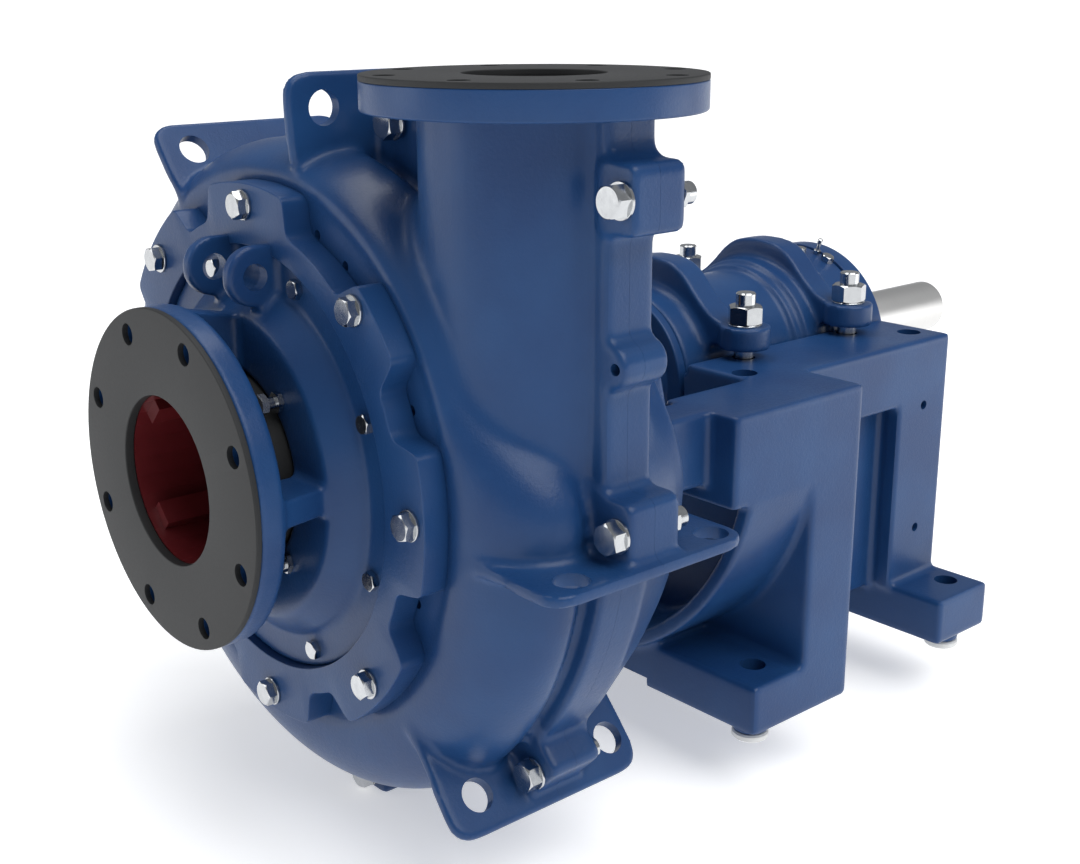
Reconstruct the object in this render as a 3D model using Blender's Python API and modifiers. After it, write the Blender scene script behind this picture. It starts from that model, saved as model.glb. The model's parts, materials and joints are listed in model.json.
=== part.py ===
"""Horizontal slurry pump with a split lined casing, packed gland and a bearing cartridge on a pedestal.

Metres, +Z up. X runs along the shaft from the suction flange to the drive end, and the origin is the
centre of the shaft's drive end face. The discharge points up and stands on the -Y side.
An angle round the shaft is taken from +Z towards -Y, as a clock face reads from the suction side.
"""

import math

import bpy
import bmesh
from mathutils import Matrix, Vector

# Working allowances
FIT_GAP = 0.0003
RUNNING_GAP = 0.0010
CUT_OVERRUN = 0.0040
FUSE_LAP = 0.0010
WASHER_SHARE = 0.62
SCREW_MERGE = 0.0001
FINE_SIDES = 28
INNER_SIDES = 14
NOZZLE_SIDES = 28
ROUND_SIDES = 16
BOLT_SIDES = 8
HOLE_SIDES = 8
ROLLER_SIDES = 6
SMOOTH_ANGLE = math.radians(38)

# Places along the shaft, measured from the suction face
PUMP_LENGTH = 1.2606
CASING_PLANE = 0.2555
FRAME_FRONT = 0.483
FRONT_RACE_SETBACK = 0.690
REAR_RACE_SETBACK = 0.888

# The wear ring sets the drum, the cover and, through them, the casing
WEAR_RING_RADIUS = 0.1480

# Suction flange and spool
FACING_THICKNESS = 0.0060
SUCTION_FLANGE_RADIUS = 0.1715
SUCTION_FLANGE_THICKNESS = 0.0260
SUCTION_HOLE_CIRCLE = 0.14925
SUCTION_HOLE_RADIUS = 0.0111
FLANGE_HOLES = 8
SUCTION_BORE_RADIUS = 0.0856
NECK_RADIUS = 0.0985
NECK_WALL = 0.0055
NECK_END = 0.1180
LIP_LENGTH = 0.0100
SPOOL_THROAT_RADIUS = 0.1010
WEAR_RING_CLEARANCE = 0.0020
SPOOL_CHAMBER_RADIUS = WEAR_RING_RADIUS + WEAR_RING_CLEARANCE
DRUM_FRONT = 0.0840
DRUM_FRONT_WALL = 0.0090
DRUM_FRONT_RADIUS = SPOOL_CHAMBER_RADIUS + DRUM_FRONT_WALL
DRUM_WALL = 0.0120
DRUM_SHOULDER = 0.1090
DRUM_SPREAD = 0.0250
DRUM_SHOULDER_RADIUS = DRUM_FRONT_RADIUS + DRUM_SPREAD
SPOOL_RING_WIDTH = 0.0370
SPOOL_RING_RADIUS = DRUM_SHOULDER_RADIUS + SPOOL_RING_WIDTH
SPOOL_RING_FRONT = 0.1135
SPOOL_RING_THICKNESS = 0.0140
RIB_THICKNESS = 0.0270
RIB_COUNT = 4
LIFTING_EAR_RADIUS = 0.0310
LIFTING_EAR_HOLE_RADIUS = 0.0135
LIFTING_EAR_THICKNESS = 0.0200
LIFTING_EAR_FRONT = 0.0865
LIFTING_EAR_REACH = 0.0390
LIFTING_EAR_HEIGHT = DRUM_FRONT_RADIUS + LIFTING_EAR_REACH
LIFTING_EAR_SPREAD = 0.0392
ADJUSTER_CIRCLE = 0.1170
ADJUSTER_RADIUS = 0.0060
ADJUSTER_HEAD_FLATS = 0.0190
ADJUSTER_HEAD_HEIGHT = 0.0080
ADJUSTER_PROTRUSION = 0.0160

# Suction cover
COVER_FRONT = 0.1150
COVER_THICKNESS = 0.0085
COVER_SEAT_WIDTH = 0.0190
COVER_SPIGOT_RADIUS = SPOOL_RING_RADIUS + COVER_SEAT_WIDTH
COVER_SPIGOT_LENGTH = 0.0250
COVER_BOLT_OUTSET = 0.0210
COVER_BOLT_CIRCLE = COVER_SPIGOT_RADIUS + COVER_BOLT_OUTSET
COVER_BOLT_MARGIN = 0.0245
COVER_RADIUS = COVER_BOLT_CIRCLE + COVER_BOLT_MARGIN
COVER_BOLTS = 8
COVER_NOTCH_LEDGE = 0.0030
COVER_NOTCH_ROOT = COVER_SPIGOT_RADIUS + COVER_NOTCH_LEDGE
COVER_NOTCH_HALF_ANGLE = math.radians(9.5)
COVER_BOLT_RADIUS = 0.0080
COVER_BOLT_FLATS = 0.0240
COVER_HEAD_HEIGHT = 0.0100
COVER_BOLT_LENGTH = 0.0280
TAPPED_DEPTH = 0.0200

# Casing
CASING_WALL = 0.0160
RIM_LEDGE = 0.0020
RIM_RADIUS = COVER_RADIUS + RIM_LEDGE
RIM_DEPTH = 0.0055
TONGUE_REACH = 0.0345
TONGUE_RADIUS = RIM_RADIUS + TONGUE_REACH
VOLUTE_GROWTH = 0.0640
VOLUTE_RADIUS = TONGUE_RADIUS + VOLUTE_GROWTH
BULGE_DROP = 0.0060
BULGE_CREST = 0.2000
GROOVE_DROP = 0.0340
LIP_DROP = 0.0220
LIP_WIDTH = 0.0060
PARTING_FLANGE_WIDTH = 0.0530
BACK_CONE_END = 0.3520
BACK_CONE_DROP = 0.0320
BACK_FACE = 0.3950
BACK_SHOULDER_LEDGE = 0.0025
BACK_SHOULDER_RADIUS = RIM_RADIUS + BACK_SHOULDER_LEDGE
BACK_WALL = 0.0200
BACK_OPENING_RADIUS = 0.1450
HOLLOW_CORE_RADIUS = 0.0200
VOLUTE_SECTIONS = FINE_SIDES
SPIRAL_GROWTH = 3
SPIRAL_END_ANGLE = math.radians(270)
SPIRAL_BLEND_ANGLE = math.radians(24)
BULGE_STEPS = 4
BULGE_ROOT = COVER_FRONT + COVER_THICKNESS + FIT_GAP
SPIGOT_END = BULGE_ROOT + COVER_SPIGOT_LENGTH
FLANGE_FRONT = CASING_PLANE - PARTING_FLANGE_WIDTH / 2
FLANGE_REAR = CASING_PLANE + PARTING_FLANGE_WIDTH / 2
GROOVE_EASE_SHARE = 1 / 3
HOLLOW_WALL_SHARE = 0.45
HOLLOW_HAUNCH_SHARE = 0.12
HOLLOW_HAUNCH_RISE_SHARE = 0.62
HOLLOW_SHOULDER_SHARE = 0.25

# Discharge
DISCHARGE_NECK_REACH = 0.0689
DISCHARGE_FACE_Z = TONGUE_RADIUS + DISCHARGE_NECK_REACH
DISCHARGE_Y = 0.1251 - VOLUTE_RADIUS
DISCHARGE_FLANGE_RADIUS = 0.1560
DISCHARGE_FLANGE_THICKNESS = 0.0270
DISCHARGE_FACING_THICKNESS = 0.0055
DISCHARGE_HOLE_CIRCLE = 0.1360
DISCHARGE_HOLE_RADIUS = 0.0101
DISCHARGE_BORE_RADIUS = 0.0650
NOZZLE_RADIUS = 0.1057
NOZZLE_WALL = 0.0150
NOZZLE_FOOT_Z = -0.0600
NOZZLE_BORE_FOOT_Z = 0.0060
NOZZLE_CENTRE = (CASING_PLANE - PUMP_LENGTH, DISCHARGE_Y)
FLANGE_TOP_Z = DISCHARGE_FACE_Z - DISCHARGE_FACING_THICKNESS - FIT_GAP

# Parting web, bosses and bolts
WEB_FACE_Y = 0.0010 - VOLUTE_RADIUS
WEB_FOOT_Z = -0.0400
BOSS_HEIGHT = 0.0350
BOSS_HALF_WIDTH = 0.0310
BOSS_DEPTH = 0.0500
BOSS_CHAMFER = 0.0100
BOSS_KNEE_SHARE = 0.45
TONGUE_BOSS_TOP_SHARE = 0.8
TONGUE_BOSS_SIDE_SHARE = 0.6
PARTING_BOLT_RADIUS = 0.0100
PARTING_BOLT_FLATS = 0.0300
PARTING_HEAD_HEIGHT = 0.0155
PARTING_NUT_HEIGHT = 0.0160
WASHER_THICKNESS = 0.0030
WASHER_RADIUS = 0.0185
PARTING_BOLT_OUTSET = 0.0192
PARTING_BOLT_CIRCLE = VOLUTE_RADIUS + PARTING_BOLT_OUTSET
PARTING_BOLT_DEGREES = (90, 134)
LOW_BOLT_INSET = 0.0195
LOW_BOLT_DEGREES = (180, 225, 270)
WEB_BOLT_DROP = 0.0969
WEB_BOLT_Z = DISCHARGE_FACE_Z - WEB_BOLT_DROP
TONGUE_BOLT_Y = -0.0898
TONGUE_BOLT_RISE = 0.0157
TONGUE_BOLT_Z = TONGUE_RADIUS + TONGUE_BOLT_RISE
DOWEL_BOSS_Z = 0.1482
DOWEL_BOSS_RADIUS = 0.0210
DOWEL_HOLE_RADIUS = 0.0050

# Casing lugs
LUG_FRONT = 0.1245
LUG_REAR = 0.3710
LUG_THICKNESS = 0.0120
LUG_TIP_INSET = 0.0065
LUG_TIP_DROP = 0.0880
LUG_CORNER_RADIUS = 0.0280
LUG_CORNER_STEPS = 3
LUG_HOLE_RADIUS = 0.0145
LUG_HOLE_SPREAD = 0.0876
LUG_ROOT_LAP = 0.0220
LUG_ROOT_RADIUS = TONGUE_RADIUS - LUG_ROOT_LAP
LUG_UP_FAR_OUTSET = 0.0392
LUG_UP_OUTSET = 0.0314
LUG_SIDE_OUTSET = 0.0219
LUG_DOWN_OUTSET = 0.0136
LUGS = {
    "up_far": {"direction": math.radians(-36.2), "offset": 0.0, "hole": TONGUE_RADIUS + LUG_UP_FAR_OUTSET,
        "margin": 0.0340},
    "up": {"direction": 0.0, "offset": 0.0483, "hole": TONGUE_RADIUS + LUG_UP_OUTSET, "margin": 0.0340},
    "side": {"direction": math.radians(90), "offset": 0.0314, "hole": VOLUTE_RADIUS + LUG_SIDE_OUTSET,
        "margin": 0.0255},
    "down": {"direction": math.radians(137.9), "offset": 0.0, "hole": VOLUTE_RADIUS + LUG_DOWN_OUTSET,
        "margin": 0.0380},
}

# Liners
LINER_THICKNESS = 0.0260
SIDE_LINER_THICKNESS = 0.0200

# Wear ring
WEAR_RING_LENGTH = 0.0420
CARRIER_LENGTH = 0.0180
INLET_LINER_WALL = 0.0075
STRAIGHTENER_HEIGHT = 0.0130
STRAIGHTENER_WIDTH = 0.0260
STRAIGHTENER_LENGTH = 0.0700
STRAIGHTENER_START = 0.0200

# Impeller
IMPELLER_MARGIN = 0.0150
IMPELLER_RADIUS = COVER_SPIGOT_RADIUS - IMPELLER_MARGIN
IMPELLER_EYE_RADIUS = 0.0840
FRONT_SHROUD_THICKNESS = 0.0130
BACK_SHROUD_THICKNESS = 0.0150
IMPELLER_OUTLET_WIDTH = 0.0700
IMPELLER_FRONT = 0.1830
IMPELLER_SHOULDER_RADIUS = 0.1200
IMPELLER_OUTLET_FRONT = 0.2155
IMPELLER_REAR = 0.3400
IMPELLER_NOSE = 0.2400
VANE_THICKNESS = 0.0120
VANE_COUNT = 5
VANE_INNER_RADIUS = 0.0700
VANE_WRAP = math.radians(110)
VANE_WRAP_POWER = 0.8
VANE_STEPS = 6
IMPELLER_HUB_RADIUS = 0.0560
IMPELLER_NOSE_RADIUS = 0.0340

# Shaft and gland
SHAFT_NOSE = 0.2600
SHAFT_END_RADIUS = 0.0365
SHAFT_BEARING_RADIUS = 0.0450
SHAFT_BODY_RADIUS = 0.0500
SHAFT_NOSE_RADIUS = 0.0300
SHAFT_CHAMFER = 0.0020
KEYWAY_WIDTH = 0.0200
KEYWAY_DEPTH = 0.0075
KEYWAY_LENGTH = 0.1100
SLEEVE_RADIUS = 0.0480
SLEEVE_BORE_RADIUS = 0.0403
SLEEVE_FRONT = 0.3405
SLEEVE_LENGTH = 0.1650
SLEEVE_SEAT_RADIUS = 0.0400
PACKING_WIDTH = 0.0125
PACKING_RINGS = 2
LANTERN_WIDTH = 0.0180
BOX_FRONT = 0.3530
BOX_LENGTH = 0.0880
BOX_THROAT_LENGTH = 0.0120
BOX_RECESS_SHARE = 0.52
BOX_WALL = 0.0200
BOX_FLANGE_THICKNESS = 0.0220
GLAND_FLANGE_THICKNESS = 0.0140
GLAND_STUD_CIRCLE = 0.0900
GLAND_STUD_RADIUS = 0.0060
GLAND_STUD_LENGTH = 0.0760
GLAND_LOBE_RADIUS = 0.0180
GLAND_WAIST_SHARE = 0.62
FLUSH_PORT_RADIUS = 0.0060

# Bearing cartridge
BEARING_OUTER_RADIUS = 0.0950
BARREL_WALL = 0.0120
BARREL_RADIUS = BEARING_OUTER_RADIUS + BARREL_WALL
BARREL_FRONT = 0.6300
BARREL_REAR = 0.9600
REAR_BAND_RISE = 0.0080
REAR_BAND_RADIUS = BARREL_RADIUS + REAR_BAND_RISE
REAR_BAND_FRONT = 0.8250
FRONT_COVER_LENGTH = 0.0500
FRONT_COVER_INSET = 0.0210
FRONT_COVER_RADIUS = BARREL_RADIUS - FRONT_COVER_INSET
FRONT_COVER_TAPER = 0.0241
FRONT_COVER_NOSE_RADIUS = FRONT_COVER_RADIUS - FRONT_COVER_TAPER
FRONT_COVER_RIM = 0.0125
REAR_COVER_LENGTH = 0.0400
REAR_COVER_LEDGE = 0.0010
REAR_COVER_RADIUS = REAR_BAND_RADIUS + REAR_COVER_LEDGE
REAR_COVER_TAPER = 0.0140
REAR_COVER_LIP_RADIUS = REAR_COVER_RADIUS - REAR_COVER_TAPER
REAR_COVER_RIM = 0.0100
COVER_BORE_CLEARANCE = 0.0010
HUMP_RISE = 0.0350
CRADLE_HEIGHT = BARREL_RADIUS + HUMP_RISE
CRADLE_WIDTH = 0.0400
CRADLE_EAR_TOP = 0.0775
CRADLE_EAR_BOTTOM = 0.0450
CRADLE_EAR_RADIUS = 0.0310
HUMP_HEIGHT_SHARES = ((0.0, 1.0), (0.18, 0.978), (0.42, 0.894), (0.635, 0.69))
HUMP_FOOT_SHARE = 0.93
HOLD_DOWN_OUTSET = 0.0336
HOLD_DOWN_Y = BARREL_RADIUS + HOLD_DOWN_OUTSET
HOLD_DOWN_TOP = 0.1170
HOLD_DOWN_RADIUS = 0.0120
HOLD_DOWN_FLATS = 0.0380
HOLD_DOWN_NUT_HEIGHT = 0.0200
HOLD_DOWN_DEPTH = 0.0500
CARTRIDGE_TRAVEL = 0.0060
BEARING_WIDTH = 0.0430
RACE_THICKNESS_SHARE = 0.22
ROLLER_COUNT = 10
ROLLER_INSET = 0.0060
CAGE_BAR_SHARE = 0.5
ADJUSTING_LUG_FRONT = 0.8850
ADJUSTING_LUG_THICKNESS = 0.0220
ADJUSTING_LUG_HALF_WIDTH = 0.0220
ADJUSTING_HEAD_HEIGHT = 0.0120
ADJUSTING_SCREW_RADIUS = 0.0080
ADJUSTING_SCREW_FLATS = 0.0240
ADJUSTING_SCREW_OUTSET = 0.0270
ADJUSTING_SCREW_DROP = BARREL_RADIUS + ADJUSTING_SCREW_OUTSET

# Pedestal
FLOOR_Z = -0.3435
RAIL_TOP = 0.0380
RAIL_THICKNESS = 0.0280
LEG_FACE_Y = 0.3140
LEG_WALL = 0.0220
LEG_REAR = 0.6960
LEG_STRIP_FRONT = 0.6130
SIDE_BLOCK_FOOT_Z = -0.0640
RAIL_CLEARANCE = 0.0030
RAIL_INNER_Y = REAR_BAND_RADIUS + RAIL_CLEARANCE
FRAME_REAR = 0.9850
BULKHEAD_THICKNESS = 0.0280
CRADLE_RING_RADIUS = 0.3200
CRADLE_RING_WALL = 0.0180
CRADLE_RING_FRONT = 0.5100
FOOT_HEIGHT = 0.0590
FRONT_FOOT_FRONT = 0.5300
REAR_FOOT_FRONT = 0.8900
REAR_FOOT_REAR = 0.9950
REAR_FOOT_FACE_Y = 0.3090
FOOT_RELIEF_Y = 0.1450
FOOT_RELIEF = 0.0120
FOOT_HOLE_RADIUS = 0.0110
FRONT_FOOT_HOLE = 0.5780
REAR_FOOT_HOLE = 0.9610
FOOT_HOLE_Y = 0.2680
POST_FACE_Y = 0.2310
SKIRT_THICKNESS = 0.0210
SKIRT_BOTTOM_Z = -0.0440
WEB_PANEL_Y = 0.2000
WEB_PANEL_THICKNESS = 0.0140
POST_FRONT = 0.8850
POST_HOLE = 0.9370
POST_HOLES_Z = (-0.0490, -0.2150)
POST_HOLE_RADIUS = 0.0060
REAR_BULKHEAD_FRONT = 0.9250
REAR_BULKHEAD_THICKNESS = 0.0180
RAIL_HOLE_RADIUS = 0.0095
FRONT_RAIL_HOLE = 0.6330
REAR_RAIL_HOLE = 0.9500
RAIL_HOLE_Y = 0.1920
ARM_THICKNESS = 0.0500
ARM_BOTTOM_Z = -0.0430
ADAPTER_LEDGE = 0.0040
ADAPTER_RADIUS = BACK_SHOULDER_RADIUS - ADAPTER_LEDGE
ARM_FACE_INSET = 0.0100
ARM_FACE_Y = ADAPTER_RADIUS - ARM_FACE_INSET
ADAPTER_BORE_RADIUS = 0.1700
ADAPTER_FRONT = BACK_FACE + FIT_GAP
ADAPTER_THICKNESS = 0.0200
PAD_RADIUS = 0.0220
PAD_HEIGHT = 0.0090
EDGE_ROUND = 0.0040

AXES = {"X": Vector((1, 0, 0)), "Y": Vector((0, 1, 0)), "Z": Vector((0, 0, 1))}
PAINT = ("navy_cast_iron_paint", (0.016, 0.058, 0.168, 1), 0.30, 0.0)
RUBBER = ("black_rubber", (0.022, 0.023, 0.024, 1), 0.70, 0.0)
URETHANE = ("wine_red_urethane", (0.24, 0.010, 0.012, 1), 0.45, 0.0)
ZINC = ("zinc_plated_steel", (0.72, 0.73, 0.74, 1), 0.22, 1.0)
SHAFT_STEEL = ("ground_shaft_steel", (0.80, 0.79, 0.78, 1), 0.20, 1.0)
BEARING_STEEL = ("bearing_steel", (0.62, 0.63, 0.65, 1), 0.15, 1.0)
WHITE_IRON = ("white_iron", (0.33, 0.33, 0.34, 1), 0.45, 1.0)
BRONZE = ("gland_bronze", (0.55, 0.33, 0.13, 1), 0.35, 1.0)
PACKING = ("graphite_packing", (0.05, 0.05, 0.055, 1), 0.60, 0.0)
NYLON = ("white_nylon", (0.80, 0.80, 0.78, 1), 0.50, 0.0)


def along(setback):
    """World X of a place given as a distance behind the suction face."""
    return setback - PUMP_LENGTH


def round_shaft(radius, angle):
    """(y, z) at this radius and clock angle."""
    return -radius * math.sin(angle), radius * math.cos(angle)


def clear_scene():
    for obj in list(bpy.data.objects):
        bpy.data.objects.remove(obj)


def new_collection(name):
    collection = bpy.data.collections.new(name)
    bpy.context.scene.collection.children.link(collection)
    return collection


clear_scene()
PUMP = new_collection("slurry_pump")
CUTTERS = new_collection("cutters")
CUTTERS.hide_render = True


def material(spec):
    name, colour, roughness, metallic = spec
    found = bpy.data.materials.get(name)
    if found:
        return found
    made = bpy.data.materials.new(name)
    made.use_nodes = True
    shader = made.node_tree.nodes["Principled BSDF"]
    shader.inputs["Base Color"].default_value = colour
    shader.inputs["Roughness"].default_value = roughness
    shader.inputs["Metallic"].default_value = metallic
    made.diffuse_color = colour
    return made


def place(name, mesh, spec=None):
    """Links the mesh as a visible part, or as a cutter if it has no material."""
    obj = bpy.data.objects.new(name, mesh)
    if spec:
        mesh.materials.append(material(spec))
        PUMP.objects.link(obj)
    else:
        CUTTERS.objects.link(obj)
        obj.hide_render = True
        obj.display_type = "WIRE"
    return obj


def mesh_of(bm, name):
    bmesh.ops.recalc_face_normals(bm, faces=bm.faces)
    mesh = bpy.data.meshes.new(name)
    bm.to_mesh(mesh)
    bm.free()
    mesh.shade_smooth()
    mesh.set_sharp_from_angle(angle=SMOOTH_ANGLE)
    return mesh


def turned(name, outline, spec=None, sides=FINE_SIDES, closed=True, turn=None, at=(0, 0, 0)):
    """A profile of (axial, radius) points, screwed round the shaft's line or, with turn, another axis."""
    area = sum(a[1] * b[0] - b[1] * a[0] for a, b in zip(outline, outline[1:] + outline[:1]))
    points = outline if area < 0 else outline[::-1]
    count = len(points)
    edges = [(i, (i + 1) % count) for i in range(count if closed else count - 1)]
    mesh = bpy.data.meshes.new(name)
    mesh.from_pydata([(radius, 0, axial) for axial, radius in points], edges, [])
    obj = place(name, mesh, spec)
    obj.matrix_world = Matrix.Translation(at) @ (turn or Matrix.Rotation(math.radians(90), 4, "Y"))
    screw = obj.modifiers.new("turn", "SCREW")
    screw.axis = "Z"
    screw.angle = math.radians(360)
    screw.steps = screw.render_steps = sides
    screw.use_merge_vertices = True
    screw.merge_threshold = SCREW_MERGE
    screw.use_smooth_shade = True
    return obj


def ring(name, front, rear, inner, outer, spec=None, sides=FINE_SIDES):
    """A plain ring. The flats of its bore, not its corners, lie at the inner radius."""
    inner = inner / math.cos(math.pi / sides)
    outline = [(along(front), inner), (along(front), outer), (along(rear), outer), (along(rear), inner)]
    return turned(name, outline, spec, sides)


def disc(name, front, rear, radius, spec=None, sides=FINE_SIDES):
    outline = [(along(front), 0), (along(front), radius), (along(rear), radius), (along(rear), 0)]
    return turned(name, outline, spec, sides, closed=False)


def add_rod(bm, start, direction, length, radius, sides=HOLE_SIDES):
    """A capped cylinder or prism from start along direction."""
    direction = Vector(direction).normalized()
    turn = direction.to_track_quat("Z", "Y").to_matrix().to_4x4()
    matrix = Matrix.Translation(Vector(start) + direction * (length / 2)) @ turn
    bmesh.ops.create_cone(
        bm, cap_ends=True, segments=sides, radius1=radius, radius2=radius, depth=length, matrix=matrix,
    )


def add_drill(bm, start, direction, length, radius, sides=HOLE_SIDES):
    """A cutter whose flats, not its corners, lie at the radius."""
    add_rod(bm, start, direction, length, radius / math.cos(math.pi / sides), sides)


def add_box(bm, low, high):
    low, high = Vector(low), Vector(high)
    size = high - low
    matrix = Matrix.Translation((low + high) / 2) @ Matrix.Diagonal((*size, 1))
    bmesh.ops.create_cube(bm, size=1, matrix=matrix)


def add_prism(bm, outline, thickness, matrix=None):
    """A flat outline of (x, y) points pushed along +Z by thickness, then placed by matrix."""
    matrix = matrix or Matrix.Identity(4)
    corners = [bm.verts.new(matrix @ Vector((x, y, 0))) for x, y in outline]
    face = bm.faces.new(corners)
    pushed = bmesh.ops.extrude_face_region(bm, geom=[face])["geom"]
    moved = [v for v in pushed if isinstance(v, bmesh.types.BMVert)]
    bmesh.ops.translate(bm, verts=moved, vec=matrix.to_3x3() @ Vector((0, 0, thickness)))


def made(name, bm, spec=None):
    return place(name, mesh_of(bm, name), spec)


def combine(target, other, operation, solver="EXACT"):
    modifier = target.modifiers.new(operation.lower(), "BOOLEAN")
    modifier.operation = operation
    modifier.object = other
    modifier.solver = solver
    if other.name in PUMP.objects:
        PUMP.objects.unlink(other)
        CUTTERS.objects.link(other)
        other.hide_render = True
        other.display_type = "WIRE"
    return target


def cut(target, *cutters, solver="EXACT"):
    for cutter in cutters:
        combine(target, cutter, "DIFFERENCE", solver)
    return target


def join(target, *others):
    for other in others:
        combine(target, other, "UNION")
    return target


def holes(name, front, rear, circle, radius, count, start=0.0, sides=HOLE_SIDES):
    """A ring of holes along the shaft direction, as one cutter."""
    bm = bmesh.new()
    for index in range(count):
        y, z = round_shaft(circle, start + index * math.tau / count)
        add_drill(bm, (along(front), y, z), AXES["X"], rear - front, radius, sides)
    return made(name, bm)


def arc(centre, radius, start, end, steps):
    """Points of a circular arc, both ends included, angles from +X towards +Y."""
    angles = [start + (end - start) * i / steps for i in range(steps + 1)]
    return [(centre[0] + radius * math.cos(a), centre[1] + radius * math.sin(a)) for a in angles]


def hex_bolt(name, head_face, direction, flats, head_height, radius, length, washer=None, spec=ZINC):
    """A bolt whose head starts at head_face and whose shank follows direction, with its washer."""
    direction = Vector(direction)
    bm = bmesh.new()
    add_rod(bm, head_face, direction, head_height, flats / math.sqrt(3), 6)
    head = made(name, bm, spec)
    bm = bmesh.new()
    add_rod(bm, Vector(head_face) + direction * (head_height / 2), direction, length - head_height / 2,
        radius, BOLT_SIDES)
    join(head, made(name + "_shank", bm))
    if washer:
        washer_radius, washer_thickness = washer
        bm = bmesh.new()
        start = Vector(head_face) + direction * (head_height - FUSE_LAP)
        add_rod(bm, start, direction, FUSE_LAP + washer_thickness, washer_radius, BOLT_SIDES)
        join(head, made(name + "_washer", bm))
    return head


# Volute form

def volute_radius(angle):
    """Radius of the parting flange: it grows against the clock from the tongue to the nozzle."""
    travel = (-angle) % math.tau
    if travel <= SPIRAL_END_ANGLE:
        left = 1 - travel / SPIRAL_END_ANGLE
        share = 1 - left**SPIRAL_GROWTH
    else:
        share = max(0.0, 1 - (travel - SPIRAL_END_ANGLE) / SPIRAL_BLEND_ANGLE)
        share = share * share * (3 - 2 * share)
    return TONGUE_RADIUS + (VOLUTE_RADIUS - TONGUE_RADIUS) * share


def lofted_ring(name, section, spec=None, sections=VOLUTE_SECTIONS):
    """Closed sections of (axial, radius) points, one at each clock angle, skinned into one ring."""
    bm = bmesh.new()
    rings = []
    for index in range(sections):
        angle = math.tau * index / sections
        points = section(angle)
        rings.append([bm.verts.new((axial, *round_shaft(radius, angle))) for axial, radius in points])
    for index in range(sections):
        here, there = rings[index], rings[(index + 1) % sections]
        for k in range(len(here)):
            after = (k + 1) % len(here)
            bm.faces.new((here[k], here[after], there[after]))
            bm.faces.new((here[k], there[after], there[k]))
    return made(name, bm, spec)


def front_outside(angle):
    """Outer side of the front half, from the cover seat to the parting face."""
    edge = volute_radius(angle)
    crest = edge - BULGE_DROP
    root = BULGE_ROOT + RIM_DEPTH
    points = [(BULGE_ROOT, RIM_RADIUS)]
    for index in range(BULGE_STEPS + 1):
        turn = math.radians(90) * index / BULGE_STEPS
        points.append((BULGE_CREST - (BULGE_CREST - root) * math.cos(turn),
                       RIM_RADIUS + (crest - RIM_RADIUS) * math.sin(turn)))
    points.append((FLANGE_FRONT - 2 * LIP_WIDTH, crest - (GROOVE_DROP - BULGE_DROP) * GROOVE_EASE_SHARE))
    points.append((FLANGE_FRONT - LIP_WIDTH, edge - GROOVE_DROP))
    points.append((FLANGE_FRONT - LIP_WIDTH, edge - LIP_DROP))
    points.append((FLANGE_FRONT, edge - LIP_DROP))
    points.append((FLANGE_FRONT, edge))
    points.append((CASING_PLANE - FIT_GAP / 2, edge))
    return points


def cavity_radius(angle):
    return volute_radius(angle) - GROOVE_DROP - CASING_WALL


def haunch_radius(wide):
    return COVER_SPIGOT_RADIUS + (wide - COVER_SPIGOT_RADIUS) * HOLLOW_HAUNCH_RISE_SHARE


def shoulder_radius(wide):
    return COVER_SPIGOT_RADIUS + (wide - COVER_SPIGOT_RADIUS) * HOLLOW_SHOULDER_SHARE


def front_inside(angle, inset):
    """Inner side of the front half, moved in by inset, from the parting face to the spigot bore."""
    wide = cavity_radius(angle) - inset
    shoulder = SPIGOT_END + inset
    return [
        (CASING_PLANE - FIT_GAP / 2, wide),
        (CASING_PLANE - (CASING_PLANE - shoulder) * HOLLOW_WALL_SHARE, wide),
        (shoulder + (CASING_PLANE - shoulder) * HOLLOW_HAUNCH_SHARE, haunch_radius(wide)),
        (shoulder, shoulder_radius(wide)),
    ]


def back_outside(angle):
    edge = volute_radius(angle)
    return [
        (CASING_PLANE + FIT_GAP / 2, edge),
        (FLANGE_REAR, edge),
        (BACK_CONE_END, edge - BACK_CONE_DROP),
        (BACK_FACE - BACK_WALL / 2, (edge - BACK_CONE_DROP + BACK_SHOULDER_RADIUS) / 2),
        (BACK_FACE, BACK_SHOULDER_RADIUS),
        (BACK_FACE, BACK_OPENING_RADIUS),
    ]


def back_inside(angle, inset):
    wide = cavity_radius(angle) - inset
    floor = BACK_FACE - BACK_WALL - inset
    return [
        (floor, BACK_OPENING_RADIUS),
        (floor, shoulder_radius(wide)),
        (floor - (floor - CASING_PLANE) * HOLLOW_HAUNCH_SHARE, haunch_radius(wide)),
        (CASING_PLANE + (floor - CASING_PLANE) * HOLLOW_WALL_SHARE, wide),
        (CASING_PLANE + FIT_GAP / 2, wide),
    ]


def moved_along(points):
    return [(along(setback), radius) for setback, radius in points]


def front_casing_section(angle):
    """The front half before it is hollowed: its outside, and a straight bore for the cover's spigot."""
    bore = COVER_SPIGOT_RADIUS + FIT_GAP
    return moved_along(front_outside(angle) + [(CASING_PLANE - FIT_GAP / 2, bore), (BULGE_ROOT, bore)])


def back_casing_section(angle):
    """The back half before it is hollowed: its outside, and a straight bore for the stuffing box."""
    return moved_along(back_outside(angle) + [(CASING_PLANE + FIT_GAP / 2, BACK_OPENING_RADIUS)])


def front_liner_section(angle):
    """The front liner before it is hollowed."""
    outer = front_inside(angle, FIT_GAP)
    bore = COVER_SPIGOT_RADIUS + FIT_GAP
    return moved_along(outer + [(outer[-1][0], bore), (CASING_PLANE - FIT_GAP / 2, bore)])


def back_liner_section(angle):
    """The back liner before it is hollowed."""
    return moved_along(back_inside(angle, FIT_GAP) + [(CASING_PLANE + FIT_GAP / 2, BACK_OPENING_RADIUS)])


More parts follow.
